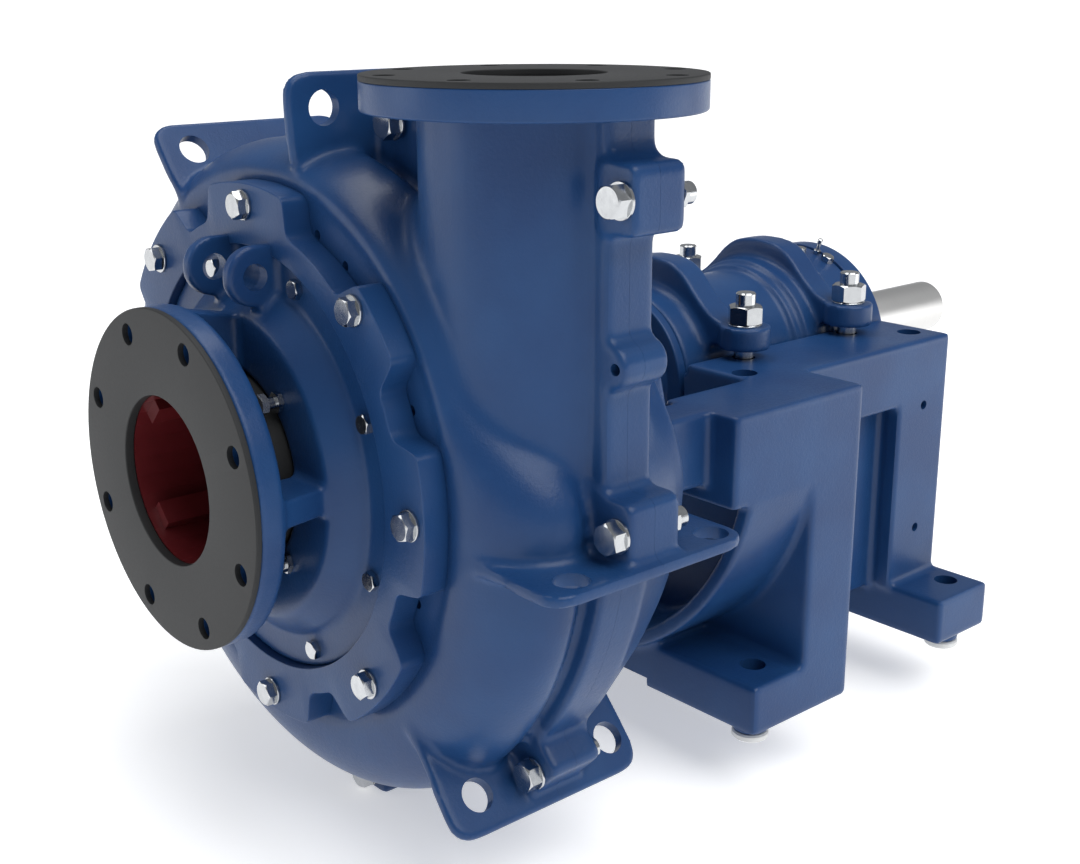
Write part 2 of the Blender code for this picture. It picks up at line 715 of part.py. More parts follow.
def upright(name, x, y, low, high, radius, spec=None, sides=NOZZLE_SIDES):
    outline = [(low, 0), (low, radius), (high, radius), (high, 0)]
    return turned(name, outline, spec, sides, closed=False, turn=Matrix.Identity(4), at=(x, y, 0))


def half_disc_prism(name, front, radius, low, high, past_plane=0.0):
    """Half of an upright cylinder on the nozzle's line, on one side of the parting plane or also past it."""
    middle, y = NOZZLE_CENTRE
    side = -1 if front else 1
    start = math.radians(90) if front else math.radians(-90)
    plane = middle + side * FIT_GAP / 2
    outline = arc((plane, y), radius, start, start + math.pi, NOZZLE_SIDES // 2)
    if past_plane:
        beyond = plane - side * past_plane
        outline += [(beyond, outline[-1][1]), (beyond, outline[0][1])]
    bm = bmesh.new()
    add_prism(bm, outline, high - low, Matrix.Translation((0, 0, low)))
    return made(name, bm)


def boss_outline(height, half_width, root, chamfer):
    """A raised pad on a curved flange: across, outward."""
    return [
        (-half_width - chamfer, root), (-half_width, root + (height - root) * BOSS_KNEE_SHARE),
        (-half_width, height - chamfer), (-half_width + chamfer, height),
        (half_width - chamfer, height), (half_width, height - chamfer),
        (half_width, root + (height - root) * BOSS_KNEE_SHARE), (half_width + chamfer, root),
    ]


def clock_frame(angle, front):
    """Local X runs across the radius, local Y outward, local Z along the shaft."""
    y_out, z_out = round_shaft(1, angle)
    outward = Vector((0, y_out, z_out))
    shaft = AXES["X"]
    across = outward.cross(shaft)
    turn = Matrix((across, outward, shaft)).transposed().to_4x4()
    return Matrix.Translation((front, 0, 0)) @ turn


def half_range(front):
    plane = along(CASING_PLANE)
    if front:
        return along(FLANGE_FRONT), plane - FIT_GAP / 2
    return plane + FIT_GAP / 2, along(FLANGE_REAR)


def low_bolt_circle(angle):
    return volute_radius(angle) + LOW_BOLT_INSET


def parting_bolt_places():
    """(y, z) of every bolt through the parting flange."""
    places = [round_shaft(PARTING_BOLT_CIRCLE, math.radians(d)) for d in PARTING_BOLT_DEGREES]
    for degrees in LOW_BOLT_DEGREES:
        angle = math.radians(degrees)
        places.append(round_shaft(low_bolt_circle(angle), angle))
    places.append((-PARTING_BOLT_CIRCLE, WEB_BOLT_Z))
    places.append((TONGUE_BOLT_Y, TONGUE_BOLT_Z))
    return places


def boss_angles():
    """Clock angle and outer radius of each boss that stands on the round part of the parting flange."""
    found = [(math.radians(d), VOLUTE_RADIUS + BOSS_HEIGHT) for d in PARTING_BOLT_DEGREES]
    for degrees in LOW_BOLT_DEGREES:
        angle = math.radians(degrees)
        found.append((angle, low_bolt_circle(angle) + LOW_BOLT_INSET))
    return found


def parting_bosses(name, front):
    low, high = half_range(front)
    bm = bmesh.new()
    for angle, height in boss_angles():
        root = volute_radius(angle) - BOSS_DEPTH / 2
        add_prism(bm, boss_outline(height, BOSS_HALF_WIDTH, root, BOSS_CHAMFER), high - low,
            clock_frame(angle, low))
    return made(name, bm)


def parting_web(name, front):
    """The straight web that carries the parting flange up the nozzle, with its two bosses."""
    low, high = half_range(front)
    face = -WEB_FACE_Y
    raised = face + BOSS_HEIGHT
    inner = -DISCHARGE_Y
    top = FLANGE_TOP_Z - DISCHARGE_FLANGE_THICKNESS / 2
    across = [
        (WEB_FOOT_Z, inner), (WEB_FOOT_Z, face),
        (DOWEL_BOSS_Z - DOWEL_BOSS_RADIUS - BOSS_CHAMFER / 2, face),
    ]
    across += [(y, x) for x, y in arc((face, DOWEL_BOSS_Z), DOWEL_BOSS_RADIUS, -math.pi / 2, math.pi / 2, 6)]
    across += [
        (DOWEL_BOSS_Z + DOWEL_BOSS_RADIUS + BOSS_CHAMFER / 2, face),
        (WEB_BOLT_Z - BOSS_HALF_WIDTH - BOSS_CHAMFER, face),
        (WEB_BOLT_Z - BOSS_HALF_WIDTH, raised - BOSS_CHAMFER),
        (WEB_BOLT_Z - BOSS_HALF_WIDTH + BOSS_CHAMFER, raised),
        (WEB_BOLT_Z + BOSS_HALF_WIDTH - BOSS_CHAMFER, raised),
        (WEB_BOLT_Z + BOSS_HALF_WIDTH, raised - BOSS_CHAMFER),
        (WEB_BOLT_Z + BOSS_HALF_WIDTH + BOSS_CHAMFER, face),
        (top, face), (top, inner),
    ]
    bm = bmesh.new()
    add_prism(bm, across, high - low, clock_frame_from_right(low))
    return made(name, bm)


def clock_frame_from_right(front):
    """Local X is +Z, local Y is -Y, local Z is +X."""
    return Matrix(((0, 0, 1, front), (0, -1, 0, 0), (1, 0, 0, 0), (0, 0, 0, 1)))


def tongue_web(name, front):
    """The web between the nozzle and the top of the volute, with the bolt boss by the vertical lug."""
    low, high = half_range(front)
    inner = DISCHARGE_Y
    top = TONGUE_BOLT_Z + BOSS_HALF_WIDTH * TONGUE_BOSS_TOP_SHARE
    foot = volute_radius(0.0) - BOSS_DEPTH
    side = -TONGUE_BOLT_Y - BOSS_HALF_WIDTH
    outline = [
        (foot, -inner), (top, -inner), (top, -TONGUE_BOLT_Y - BOSS_HALF_WIDTH * TONGUE_BOSS_SIDE_SHARE),
        (TONGUE_BOLT_Z, side), (foot, side),
    ]
    bm = bmesh.new()
    add_prism(bm, outline, high - low, clock_frame_from_right(low))
    return made(name, bm)


def lug_plates(name, front):
    """One rounded plate at each lug, cut off at the parting plane."""
    plane = along(CASING_PLANE)
    bm = bmesh.new()
    for lug in LUGS.values():
        y_out, z_out = round_shaft(1, lug["direction"])
        outward = Vector((0, y_out, z_out))
        shaft = AXES["X"]
        normal = outward.cross(shaft)
        outer = lug["hole"] + lug["margin"]
        corner = LUG_CORNER_RADIUS
        if front:
            near, far = along(LUG_FRONT), plane - FIT_GAP / 2
            centre = (near + corner, outer - corner)
            tip = near + LUG_TIP_INSET
            outline = [(tip, LUG_ROOT_RADIUS), (tip, outer - LUG_TIP_DROP)] + arc(centre, corner, math.pi,
                math.pi / 2, LUG_CORNER_STEPS)
            outline += [(far, outer), (far, LUG_ROOT_RADIUS)]
        else:
            near, far = plane + FIT_GAP / 2, along(LUG_REAR)
            centre = (far - corner, outer - corner)
            outline = [(near, LUG_ROOT_RADIUS), (near, outer)] + arc(centre, corner, math.pi / 2, 0,
                LUG_CORNER_STEPS)
            outline += [(far, LUG_ROOT_RADIUS)]
        turn = Matrix((shaft, outward, -normal)).transposed().to_4x4()
        place_at = Matrix.Translation(normal * lug["offset"] * -1 + normal * (LUG_THICKNESS / 2))
        add_prism(bm, outline, LUG_THICKNESS, place_at @ turn)
    return made(name, bm)


def lug_holes(name, front):
    side = -1 if front else 1
    bm = bmesh.new()
    for lug in LUGS.values():
        y_out, z_out = round_shaft(1, lug["direction"])
        outward = Vector((0, y_out, z_out))
        normal = outward.cross(AXES["X"])
        centre = Vector((along(CASING_PLANE) + side * LUG_HOLE_SPREAD, 0, 0))
        centre += outward * lug["hole"] - normal * lug["offset"]
        add_drill(bm, centre + normal * LUG_THICKNESS, -normal, 2 * LUG_THICKNESS, LUG_HOLE_RADIUS,
            BOLT_SIDES)
    return made(name, bm)


def parting_holes(name):
    bm = bmesh.new()
    for y, z in parting_bolt_places():
        start = (along(FLANGE_FRONT) - CUT_OVERRUN, y, z)
        add_drill(bm, start, AXES["X"], PARTING_FLANGE_WIDTH + 2 * CUT_OVERRUN,
            PARTING_BOLT_RADIUS + RUNNING_GAP, BOLT_SIDES)
    add_drill(bm, (along(FLANGE_FRONT) - CUT_OVERRUN, WEB_FACE_Y - DOWEL_BOSS_RADIUS / 2, DOWEL_BOSS_Z),
            AXES["X"], PARTING_FLANGE_WIDTH + 2 * CUT_OVERRUN, DOWEL_HOLE_RADIUS)
    return made(name, bm)


def nozzle_bore(name, front, radius):
    return half_disc_prism(name, front, radius, NOZZLE_BORE_FOOT_Z, DISCHARGE_FACE_Z + CUT_OVERRUN,
        CUT_OVERRUN)


def nozzle_holes(name):
    bm = bmesh.new()
    for index in range(FLANGE_HOLES):
        angle = math.tau * (index + 0.5) / FLANGE_HOLES
        x = NOZZLE_CENTRE[0] + DISCHARGE_HOLE_CIRCLE * math.cos(angle)
        y = DISCHARGE_Y + DISCHARGE_HOLE_CIRCLE * math.sin(angle)
        low = DISCHARGE_FACE_Z - DISCHARGE_FLANGE_THICKNESS - 3 * CUT_OVERRUN
        add_drill(bm, (x, y, low), AXES["Z"], DISCHARGE_FACE_Z + CUT_OVERRUN - low, DISCHARGE_HOLE_RADIUS)
    return made(name, bm)


def hollow_body(name, front, inset, sections):
    """The space inside one half as a solid: inset is how far it stays off the casing's wall."""
    past_plane = CUT_OVERRUN if front else -CUT_OVERRUN
    plane = CASING_PLANE - FIT_GAP / 2 if front else CASING_PLANE + FIT_GAP / 2

    def section(angle):
        wide = cavity_radius(angle) - inset
        if front:
            points = front_inside(angle, inset)[1:] + [(SPIGOT_END + inset, HOLLOW_CORE_RADIUS)]
            points += [(plane + past_plane, HOLLOW_CORE_RADIUS), (plane + past_plane, wide)]
        else:
            floor = BACK_FACE - BACK_WALL - inset
            points = [(plane + past_plane, wide), (plane + past_plane, HOLLOW_CORE_RADIUS)]
            points += [(floor, HOLLOW_CORE_RADIUS)] + back_inside(angle, inset)[1:-1]
        return moved_along(points)

    return lofted_ring(name, section, sections=sections)


def casing_half(name, front):
    label = "front" if front else "back"
    collar_foot = FLANGE_TOP_Z - DISCHARGE_FLANGE_THICKNESS
    half = lofted_ring(name, front_casing_section if front else back_casing_section, PAINT)
    nozzle = half_disc_prism(label + "_nozzle", front, NOZZLE_RADIUS, NOZZLE_FOOT_Z, FLANGE_TOP_Z)
    flange = half_disc_prism(label + "_nozzle_flange", front, DISCHARGE_FLANGE_RADIUS, collar_foot,
        FLANGE_TOP_Z)
    join(half, nozzle, parting_web(label + "_web", front), tongue_web(label + "_tongue_web", front))
    join(half, parting_bosses(label + "_bosses", front), lug_plates(label + "_lugs", front), flange)
    cut(half, hollow_body(label + "_hollow", front, 0.0, VOLUTE_SECTIONS))
    cut(half, nozzle_bore(label + "_nozzle_bore", front, NOZZLE_RADIUS - NOZZLE_WALL), solver="MANIFOLD")
    cut(half, nozzle_holes(label + "_nozzle_holes"), parting_holes(label + "_parting_holes"),
        lug_holes(label + "_lug_holes", front), solver="MANIFOLD")
    if front:
        tapped = TAPPED_DEPTH + COVER_THICKNESS
        reach = COVER_BOLT_RADIUS + FIT_GAP
        rim_holes = holes("rim_holes", COVER_FRONT, COVER_FRONT + tapped, COVER_BOLT_CIRCLE, reach,
            COVER_BOLTS)
        cut(half, rim_holes, solver="MANIFOLD")
    return half


def liner_half(name, front):
    """The moulded rubber of one half, with its half of the outlet pipe."""
    label = "front" if front else "back"
    liner = lofted_ring(name, front_liner_section if front else back_liner_section, RUBBER)
    pipe_radius = NOZZLE_RADIUS - NOZZLE_WALL - FIT_GAP
    foot = NOZZLE_BORE_FOOT_Z + FIT_GAP
    join(liner, half_disc_prism(label + "_liner_pipe", front, pipe_radius, foot, FLANGE_TOP_Z))
    cut(liner, hollow_body(label + "_liner_hollow", front, LINER_THICKNESS, VOLUTE_SECTIONS))
    if front:
        seat_end = SPIGOT_END + LINER_THICKNESS + CUT_OVERRUN
        seat = disc("side_liner_seat", SPIGOT_END - CUT_OVERRUN, seat_end, COVER_SPIGOT_RADIUS + FIT_GAP)
        cut(liner, seat, solver="MANIFOLD")
    return cut(liner, nozzle_bore(label + "_liner_bore", front, DISCHARGE_BORE_RADIUS), solver="MANIFOLD")


def side_liner():
    front = SPIGOT_END + FIT_GAP
    return ring("side_liner", front, front + SIDE_LINER_THICKNESS, WEAR_RING_RADIUS + RUNNING_GAP,
                COVER_SPIGOT_RADIUS, RUBBER)


def ring_seat():
    """Setback of the cover's recess for the spool's ring flange."""
    return SPOOL_RING_FRONT + SPOOL_RING_THICKNESS + FIT_GAP


def suction_cover():
    bore = WEAR_RING_RADIUS + RUNNING_GAP
    recess = SPOOL_RING_RADIUS + FIT_GAP
    rear = COVER_FRONT + COVER_THICKNESS
    cover = turned("suction_cover", moved_along([
        (ring_seat(), bore), (ring_seat(), recess), (COVER_FRONT, recess), (COVER_FRONT, COVER_RADIUS),
        (rear, COVER_RADIUS), (rear, COVER_SPIGOT_RADIUS), (SPIGOT_END, COVER_SPIGOT_RADIUS),
        (SPIGOT_END, bore),
    ]), PAINT)
    reach = COVER_BOLT_RADIUS + RUNNING_GAP / 2
    cut(cover, holes("cover_holes", COVER_FRONT - CUT_OVERRUN, rear + CUT_OVERRUN, COVER_BOLT_CIRCLE, reach,
        COVER_BOLTS))
    bm = bmesh.new()
    for index in range(COVER_BOLTS):
        middle = math.tau * (index + 0.5) / COVER_BOLTS
        inner = [round_shaft(COVER_NOTCH_ROOT, middle + COVER_NOTCH_HALF_ANGLE * share) for share in (-1, 0,
            1)]
        outer = [round_shaft(2 * COVER_RADIUS, middle + COVER_NOTCH_HALF_ANGLE * share) for share in (1, -1)]
        add_prism(bm, inner + outer, COVER_THICKNESS + 2 * CUT_OVERRUN,
            across_shaft(along(COVER_FRONT) - CUT_OVERRUN))
    return cut(cover, made("cover_notches", bm))


def across_shaft(x):
    """Local X is +Y, local Y is +Z, local Z is +X, from this X on."""
    return Matrix(((0, 0, 1, x), (1, 0, 0, 0), (0, 1, 0, 0), (0, 0, 0, 1)))


def beside_shaft(y):
    """Local X is +X, local Y is +Z, local Z is -Y, from this Y on."""
    return Matrix(((1, 0, 0, 0), (0, 0, -1, y), (0, 1, 0, 0), (0, 0, 0, 1)))


def flange_rear():
    return FACING_THICKNESS + FIT_GAP + SUCTION_FLANGE_THICKNESS


def suction_spool():
    """Suction flange, four ribs, and the drum that bolts to the cover."""
    wall_rear = DRUM_FRONT + DRUM_WALL
    ring_rear = SPOOL_RING_FRONT + SPOOL_RING_THICKNESS
    spool = turned("suction_spool", moved_along([
        (DRUM_FRONT, SPOOL_THROAT_RADIUS), (DRUM_FRONT, DRUM_FRONT_RADIUS),
        (DRUM_SHOULDER, DRUM_SHOULDER_RADIUS),
        (SPOOL_RING_FRONT, DRUM_SHOULDER_RADIUS), (SPOOL_RING_FRONT, SPOOL_RING_RADIUS),
        (ring_rear, SPOOL_RING_RADIUS),
        (ring_rear, SPOOL_CHAMBER_RADIUS), (wall_rear, SPOOL_CHAMBER_RADIUS),
        (wall_rear, SPOOL_THROAT_RADIUS),
    ]), PAINT)
    flange_front = FACING_THICKNESS + FIT_GAP
    flange = ring("spool_flange", flange_front, flange_rear(), NECK_RADIUS + FIT_GAP, SUCTION_FLANGE_RADIUS,
        PAINT)
    bm = bmesh.new()
    neck = NECK_RADIUS + 2 * EDGE_ROUND
    start, end = along(flange_rear() - EDGE_ROUND), along(DRUM_FRONT + EDGE_ROUND)
    outline = [(start, neck), (start, SUCTION_FLANGE_RADIUS - EDGE_ROUND),
        (end, DRUM_FRONT_RADIUS - EDGE_ROUND / 2), (end, neck)]
    for index in range(RIB_COUNT):
        turn = Matrix.Rotation(index * math.tau / RIB_COUNT, 4, "X")
        add_prism(bm, outline, RIB_THICKNESS, turn @ beside_shaft(RIB_THICKNESS / 2))
    join(spool, made("spool_ribs", bm, PAINT), flange)
    bm = bmesh.new()
    for side in (-1, 1):
        centre = (side * LIFTING_EAR_SPREAD, LIFTING_EAR_HEIGHT)
        foot = DRUM_FRONT_RADIUS + EDGE_ROUND
        outline = arc(centre, LIFTING_EAR_RADIUS, 0, math.pi, HOLE_SIDES)
        outline += [(centre[0] - LIFTING_EAR_RADIUS, foot), (centre[0] + LIFTING_EAR_RADIUS, foot)]
        depth = COVER_FRONT - 2 * FIT_GAP - LIFTING_EAR_FRONT
        add_prism(bm, outline, depth, across_shaft(along(LIFTING_EAR_FRONT)))
    join(spool, made("spool_ears", bm, PAINT))
    bm = bmesh.new()
    for side in (-1, 1):
        start = (along(LIFTING_EAR_FRONT - CUT_OVERRUN), side * LIFTING_EAR_SPREAD, LIFTING_EAR_HEIGHT)
        add_drill(bm, start, AXES["X"], LIFTING_EAR_THICKNESS + CUT_OVERRUN, LIFTING_EAR_HOLE_RADIUS,
            BOLT_SIDES)
    cut(spool, made("spool_ear_holes", bm))
    half_step = math.pi / FLANGE_HOLES
    cut(spool, holes("flange_holes", -CUT_OVERRUN, flange_rear() + CUT_OVERRUN, SUCTION_HOLE_CIRCLE,
                     SUCTION_HOLE_RADIUS, FLANGE_HOLES, half_step))
    clearance = ADJUSTER_RADIUS + RUNNING_GAP / 2
    cut(spool, holes("adjuster_holes", DRUM_FRONT - CUT_OVERRUN, wall_rear + CUT_OVERRUN, ADJUSTER_CIRCLE,
                     clearance, RIB_COUNT, math.pi / RIB_COUNT))
    return spool


def suction_sleeve():
    """Rubber facing and neck in one moulding."""
    bore = NECK_RADIUS - NECK_WALL
    sleeve = turned("suction_sleeve", moved_along([
        (0, SUCTION_BORE_RADIUS), (0, SUCTION_FLANGE_RADIUS), (FACING_THICKNESS, SUCTION_FLANGE_RADIUS),
        (FACING_THICKNESS, NECK_RADIUS), (NECK_END, NECK_RADIUS), (NECK_END, bore),
        (LIP_LENGTH, bore), (LIP_LENGTH, SUCTION_BORE_RADIUS),
    ]), RUBBER)
    return cut(sleeve, holes("facing_holes", -CUT_OVERRUN, FACING_THICKNESS + CUT_OVERRUN,
        SUCTION_HOLE_CIRCLE,
                             SUCTION_HOLE_RADIUS, FLANGE_HOLES, math.pi / FLANGE_HOLES))


def intake_liner():
    """Moulded liner of the inlet with two flow straighteners."""
    outer = NECK_RADIUS - NECK_WALL - FIT_GAP
    inner = outer - INLET_LINER_WALL
    start = LIP_LENGTH + FIT_GAP
    liner = ring("intake_liner", start, NECK_END, inner, outer, URETHANE)
    bm = bmesh.new()
    for quarter in (-1, -3):
        y_out, z_out = round_shaft(1, quarter * math.pi / 4)
        low = (along(STRAIGHTENER_START), -STRAIGHTENER_WIDTH / 2, inner - STRAIGHTENER_HEIGHT)
        high = (along(STRAIGHTENER_START + STRAIGHTENER_LENGTH), STRAIGHTENER_WIDTH / 2,
            inner + INLET_LINER_WALL / 2)
        box = bmesh.new()
        add_box(box, low, high)
        box.transform(Matrix.Rotation(math.atan2(-y_out, z_out), 4, "X"))
        shape = bpy.data.meshes.new("straightener")
        box.to_mesh(shape)
        box.free()
        bm.from_mesh(shape)
    return join(liner, made("straighteners", bm, URETHANE))


def wear_ring():
    """Axially adjusted ring that closes the gap to the impeller's eye."""
    rear = IMPELLER_FRONT - RUNNING_GAP
    front = rear - WEAR_RING_LENGTH - CARRIER_LENGTH + COVER_THICKNESS / 2
    wear = ring("wear_ring", front, rear, SUCTION_BORE_RADIUS, WEAR_RING_RADIUS, URETHANE)
    return wear, front


def adjuster_bolt(index, ring_front):
    y, z = round_shaft(ADJUSTER_CIRCLE, (index + 0.5) * math.tau / RIB_COUNT)
    face = ring_front - FIT_GAP
    head = DRUM_FRONT - ADJUSTER_PROTRUSION - ADJUSTER_HEAD_HEIGHT
    return hex_bolt("adjuster_bolt_%d" % (index + 1), (along(head), y, z), AXES["X"], ADJUSTER_HEAD_FLATS,
                    ADJUSTER_HEAD_HEIGHT, ADJUSTER_RADIUS, face - head)


def cover_bolt(index):
    y, z = round_shaft(COVER_BOLT_CIRCLE, index * math.tau / COVER_BOLTS)
    head = COVER_FRONT - FIT_GAP - WASHER_THICKNESS - COVER_HEAD_HEIGHT
    washer = (COVER_BOLT_FLATS * WASHER_SHARE, WASHER_THICKNESS)
    return hex_bolt("cover_bolt_%d" % (index + 1), (along(head), y, z), AXES["X"], COVER_BOLT_FLATS,
                    COVER_HEAD_HEIGHT, COVER_BOLT_RADIUS, COVER_BOLT_LENGTH + COVER_HEAD_HEIGHT, washer)


def parting_bolt(index, place_yz):
    """Bolt, two washers and nut that clamp the halves together."""
    y, z = place_yz
    head = FLANGE_FRONT - FIT_GAP - WASHER_THICKNESS - PARTING_HEAD_HEIGHT
    nut_front = FLANGE_REAR + FIT_GAP
    tip = nut_front + WASHER_THICKNESS + PARTING_NUT_HEIGHT + EDGE_ROUND
    bolt = hex_bolt("parting_bolt_%d" % (index + 1), (along(head), y, z), AXES["X"], PARTING_BOLT_FLATS,
                    PARTING_HEAD_HEIGHT, PARTING_BOLT_RADIUS, tip - head, (WASHER_RADIUS, WASHER_THICKNESS))
    bm = bmesh.new()
    add_rod(bm, (along(nut_front), y, z), AXES["X"], WASHER_THICKNESS, WASHER_RADIUS, BOLT_SIDES)
    join(bolt, made(bolt.name + "_rear_washer", bm))
    bm = bmesh.new()
    start = (along(nut_front + WASHER_THICKNESS - FUSE_LAP), y, z)
    add_rod(bm, start, AXES["X"], PARTING_NUT_HEIGHT, PARTING_BOLT_FLATS / math.sqrt(3), 6)
    return join(bolt, made(bolt.name + "_nut", bm))


def discharge_gasket():
    low, high = DISCHARGE_FACE_Z - DISCHARGE_FACING_THICKNESS, DISCHARGE_FACE_Z
    outline = [(low, DISCHARGE_BORE_RADIUS), (low, DISCHARGE_FLANGE_RADIUS), (high, DISCHARGE_FLANGE_RADIUS),
               (high, DISCHARGE_BORE_RADIUS)]
    gasket = turned("discharge_gasket", outline, RUBBER, turn=Matrix.Identity(4), at=(*NOZZLE_CENTRE, 0))
    return cut(gasket, nozzle_holes("gasket_holes"))


def vane_centre(share, index):
    """(radius, clock angle) along one vane, swept back from the turning direction."""
    radius = VANE_INNER_RADIUS + (IMPELLER_RADIUS - RUNNING_GAP - VANE_INNER_RADIUS) * share
    return radius, index * math.tau / VANE_COUNT + VANE_WRAP * share**VANE_WRAP_POWER


def vane_front(radius):
    """Setback of the vane's front edge: it follows the middle of the front shroud."""
    reach = max(0.0, (radius - IMPELLER_SHOULDER_RADIUS) / (IMPELLER_RADIUS - IMPELLER_SHOULDER_RADIUS))
    shoulder = IMPELLER_FRONT + FRONT_SHROUD_THICKNESS / 2
    return shoulder + (IMPELLER_OUTLET_FRONT - FRONT_SHROUD_THICKNESS / 2 - shoulder) * reach


def impeller():
    """Closed impeller: two shrouds and swept vanes, its hub screwed on the shaft's nose."""
    outlet_rear = IMPELLER_OUTLET_FRONT + IMPELLER_OUTLET_WIDTH
    shroud_rear = outlet_rear + BACK_SHROUD_THICKNESS
    nose_rear = IMPELLER_NOSE + (outlet_rear - IMPELLER_NOSE) / 2
    bore = SHAFT_NOSE_RADIUS + FIT_GAP
    wheel = turned("impeller", moved_along([
        (IMPELLER_NOSE, 0), (IMPELLER_NOSE + EDGE_ROUND, IMPELLER_NOSE_RADIUS / 2),
        (nose_rear, IMPELLER_HUB_RADIUS),
        (outlet_rear, IMPELLER_SHOULDER_RADIUS), (outlet_rear, IMPELLER_RADIUS),
        (shroud_rear, IMPELLER_RADIUS),
        (shroud_rear, IMPELLER_HUB_RADIUS), (IMPELLER_REAR, IMPELLER_HUB_RADIUS), (IMPELLER_REAR, bore),
        (SHAFT_NOSE - FIT_GAP, bore), (SHAFT_NOSE - FIT_GAP, 0),
    ]), WHITE_IRON, closed=False)
    inner_front = IMPELLER_FRONT + FRONT_SHROUD_THICKNESS
    shroud = turned("front_shroud", moved_along([
        (IMPELLER_FRONT, IMPELLER_EYE_RADIUS), (IMPELLER_FRONT, IMPELLER_SHOULDER_RADIUS),
        (IMPELLER_OUTLET_FRONT - FRONT_SHROUD_THICKNESS, IMPELLER_RADIUS),
        (IMPELLER_OUTLET_FRONT, IMPELLER_RADIUS),
        (inner_front, IMPELLER_SHOULDER_RADIUS), (inner_front, IMPELLER_EYE_RADIUS),
    ]), WHITE_IRON)
    rear = outlet_rear + BACK_SHROUD_THICKNESS / 2
    for index in range(VANE_COUNT):
        bm = bmesh.new()
        rows = []
        for step in range(VANE_STEPS + 1):
            radius, angle = vane_centre(step / VANE_STEPS, index)
            row = []
            for side in (-1, 1):
                y, z = round_shaft(radius, angle + side * VANE_THICKNESS / 2 / radius)
                row += [bm.verts.new((along(vane_front(radius)), y, z)), bm.verts.new((along(rear), y, z))]
            rows.append(row)
        for here, there in zip(rows, rows[1:]):
            for a, b in ((0, 1), (1, 3), (3, 2), (2, 0)):
                bm.faces.new((here[a], here[b], there[b], there[a]))
        for row in (rows[0], rows[-1]):
            bm.faces.new((row[0], row[1], row[3], row[2]))
        join(wheel, made("vane_%d" % (index + 1), bm, WHITE_IRON))
    return join(wheel, shroud)


def shaft():
    seat_front = FRONT_RACE_SETBACK + BEARING_WIDTH / 2
    seat_rear = REAR_RACE_SETBACK - BEARING_WIDTH / 2
    end_front = BARREL_REAR + REAR_COVER_LENGTH / 2
    sleeve_end = SLEEVE_FRONT + SLEEVE_LENGTH
    points = [
        (SHAFT_NOSE, 0), (SHAFT_NOSE, SHAFT_NOSE_RADIUS), (SLEEVE_FRONT, SHAFT_NOSE_RADIUS),
        (SLEEVE_FRONT, SLEEVE_SEAT_RADIUS), (sleeve_end, SLEEVE_SEAT_RADIUS),
        (sleeve_end, SHAFT_BEARING_RADIUS),
        (seat_front, SHAFT_BEARING_RADIUS), (seat_front, SHAFT_BODY_RADIUS), (seat_rear, SHAFT_BODY_RADIUS),
        (seat_rear, SHAFT_BEARING_RADIUS), (end_front, SHAFT_BEARING_RADIUS), (end_front, SHAFT_END_RADIUS),
        (PUMP_LENGTH - SHAFT_CHAMFER, SHAFT_END_RADIUS), (PUMP_LENGTH, SHAFT_END_RADIUS - SHAFT_CHAMFER),
        (PUMP_LENGTH, 0),
    ]
    turned_shaft = turned("shaft", moved_along(points), SHAFT_STEEL, sides=FINE_SIDES, closed=False)
    bm = bmesh.new()
    low = (-KEYWAY_LENGTH, SHAFT_END_RADIUS - KEYWAY_DEPTH, -KEYWAY_WIDTH / 2)
    add_box(bm, low, (CUT_OVERRUN, SHAFT_BODY_RADIUS, KEYWAY_WIDTH / 2))
    return cut(turned_shaft, made("keyway", bm))


def shaft_sleeve():
    start = SLEEVE_FRONT + FIT_GAP
    return ring("shaft_sleeve", start, SLEEVE_FRONT + SLEEVE_LENGTH - FIT_GAP, SLEEVE_BORE_RADIUS,
        SLEEVE_RADIUS,
                BEARING_STEEL, INNER_SIDES)


def box_bore():
    return SLEEVE_RADIUS + PACKING_WIDTH + FIT_GAP


def stuffing_box():
    """Wall behind the impeller with the packing box and two ears for the gland studs."""
    spigot = BACK_OPENING_RADIUS - FIT_GAP
    seat = BACK_FACE + FIT_GAP
    rear = seat + GLAND_FLANGE_THICKNESS
    tube = box_bore() + BOX_WALL
    recess = BOX_FRONT + (rear - BOX_FRONT) * (1 - BOX_RECESS_SHARE)
    end = BOX_FRONT + BOX_LENGTH
    throat = SLEEVE_RADIUS + RUNNING_GAP
    throat_end = BOX_FRONT + BOX_THROAT_LENGTH
    flange = ADAPTER_BORE_RADIUS - FIT_GAP
    box = turned("stuffing_box", moved_along([
        (BOX_FRONT, throat), (BOX_FRONT, spigot), (seat, spigot), (seat, flange), (rear, flange),
        (rear, spigot - EDGE_ROUND), (recess, spigot - 2 * EDGE_ROUND), (recess, tube + EDGE_ROUND),
        (end, tube),
        (end, box_bore()), (throat_end, box_bore()), (throat_end, throat),
    ]), PAINT)
    bm = bmesh.new()
    low = end - BOX_FLANGE_THICKNESS
    for side in (-1, 1):
        add_rod(bm, (along(low), side * GLAND_STUD_CIRCLE, 0), AXES["X"], BOX_FLANGE_THICKNESS,
            GLAND_LOBE_RADIUS, BOLT_SIDES)
    join(box, made("box_ears", bm, PAINT))
    bm = bmesh.new()
    for side in (-1, 1):
        start = (along(low) - CUT_OVERRUN, side * GLAND_STUD_CIRCLE, 0)
        add_drill(bm, start, AXES["X"], BOX_FLANGE_THICKNESS + 2 * CUT_OVERRUN, GLAND_STUD_RADIUS + FIT_GAP)
    port = throat_end + FIT_GAP + LANTERN_WIDTH / 2
    add_drill(bm, (along(port), 0, SLEEVE_RADIUS + PACKING_WIDTH / 2), AXES["Z"], spigot, FLUSH_PORT_RADIUS)
    return cut(box, made("box_holes", bm))


